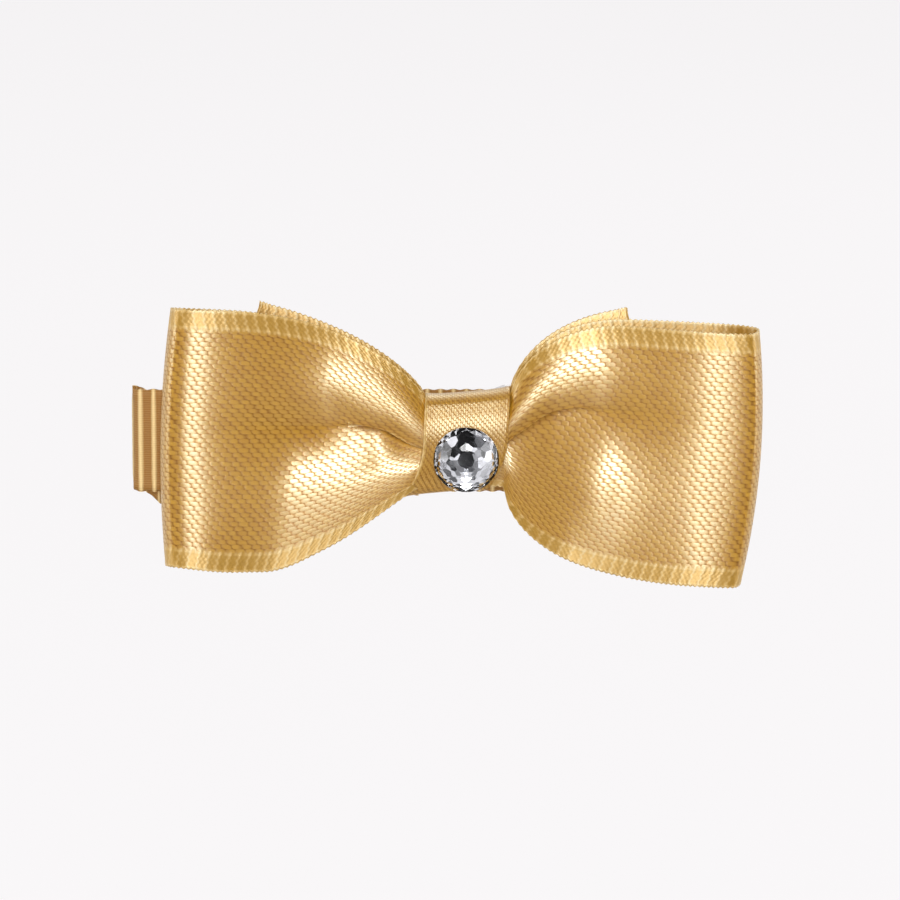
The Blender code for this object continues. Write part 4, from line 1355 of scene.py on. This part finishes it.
def studio_world(paper, room):
    """Pale behind the clip and darker on the camera's side of the room.

    The glass also sees the pale ceiling and the pale left wall.
    """
    world = bpy.data.worlds.new("studio")
    bpy.context.scene.world = world
    world.use_nodes = True
    tree = Tree(world.node_tree)
    side = tree.add("ShaderNodeTexCoord").outputs["Generated"]
    split = tree.split(side)
    behind = tree.between(split["Y"], -0.15, 0.7)
    wall = tree.between(split["X"], -0.1, -0.7, 0.0, 0.25)
    glass = tree.calc("MAXIMUM", tree.between(split["Z"], 0.1, 0.28), tree.between(split["X"], -0.3, -0.5))
    glass = furnish(tree, glass, side, 14.0)
    through = tree.add("ShaderNodeLightPath").outputs["Is Transmission Ray"]
    pale = tree.calc("MAXIMUM", wall, tree.calc("MULTIPLY", glass, through))
    colour = tree.blend(tree.calc("MAXIMUM", behind, pale), room, paper)
    strength = tree.total(0.5, (shown_ray(tree), 0.5))
    tree.feed(world.node_tree.nodes["Background"], {"Color": colour, "Strength": strength})


class HAIRCLIP_OT_studio(bpy.types.Operator):
    """Set up the camera, the soft lights and the pale floor"""
    bl_idname = "hairclip.studio"
    bl_label = "Studio"

    def execute(self, context):
        scene = context.scene
        studio = scene.hair_clip.studio
        scene.view_settings.view_transform = "Standard"
        lens = bpy.data.cameras.new("camera")
        lens.sensor_width = 36.0
        lens.lens = lens.sensor_width * studio.distance / studio.field
        lens.clip_start = 0.01
        tilt = studio.height_angle
        toward = Vector((0.0, -math.cos(tilt), math.sin(tilt)))
        scene.camera = place_item("camera", lens, TARGET + studio.distance * toward)
        for name, (power, place, size) in LIGHTS.items():
            soft_light(name, place, size, getattr(studio, power))
        bm = bmesh.new()
        bmesh.ops.create_grid(bm, x_segments=8, y_segments=8, size=FLOOR_REACH)
        floor = add_object("paper_floor", bm, paper_material(studio.paper))
        floor.location.z = CAD_BOX[0][2] - studio.drop
        studio_world(studio.paper, studio.room)
        return {"FINISHED"}


# Panel and registration

STEPS = (HAIRCLIP_OT_studio, HAIRCLIP_OT_jaws, HAIRCLIP_OT_spring, HAIRCLIP_OT_lining,
         HAIRCLIP_OT_bow, HAIRCLIP_OT_knot, HAIRCLIP_OT_stone)


class HAIRCLIP_PT_sidebar(bpy.types.Panel):
    """Steps and settings of the hair clip"""
    bl_idname = "HAIRCLIP_PT_sidebar"
    bl_label = "Hair Clip"
    bl_space_type = "VIEW_3D"
    bl_region_type = "UI"
    bl_category = "Hair Clip"

    def draw(self, context):
        settings = context.scene.hair_clip
        for step in STEPS:
            self.layout.operator(step.bl_idname)
        for group in (settings.bow, settings.knot, settings.clip, settings.finish, settings.studio):
            box = self.layout.box()
            for name in group.__annotations__:
                box.prop(group, name)


CLASSES = (BowSizes, KnotSizes, ClipSizes, Finishes, StudioSettings, HairClipSettings,
           *STEPS, HAIRCLIP_PT_sidebar)


def register():
    for item in CLASSES:
        bpy.utils.register_class(item)
    bpy.types.Scene.hair_clip = PointerProperty(type=HairClipSettings)


def unregister():
    del bpy.types.Scene.hair_clip
    for item in reversed(CLASSES):
        bpy.utils.unregister_class(item)


def main():
    register()
    bpy.ops.hairclip.studio()
    bpy.ops.hairclip.jaws()
    bpy.ops.hairclip.spring()
    bpy.ops.hairclip.lining()
    bpy.ops.hairclip.bow()
    bpy.ops.hairclip.knot()
    bpy.ops.hairclip.stone()
    bpy.context.view_layer.update()


if __name__ == "__main__":
    main()
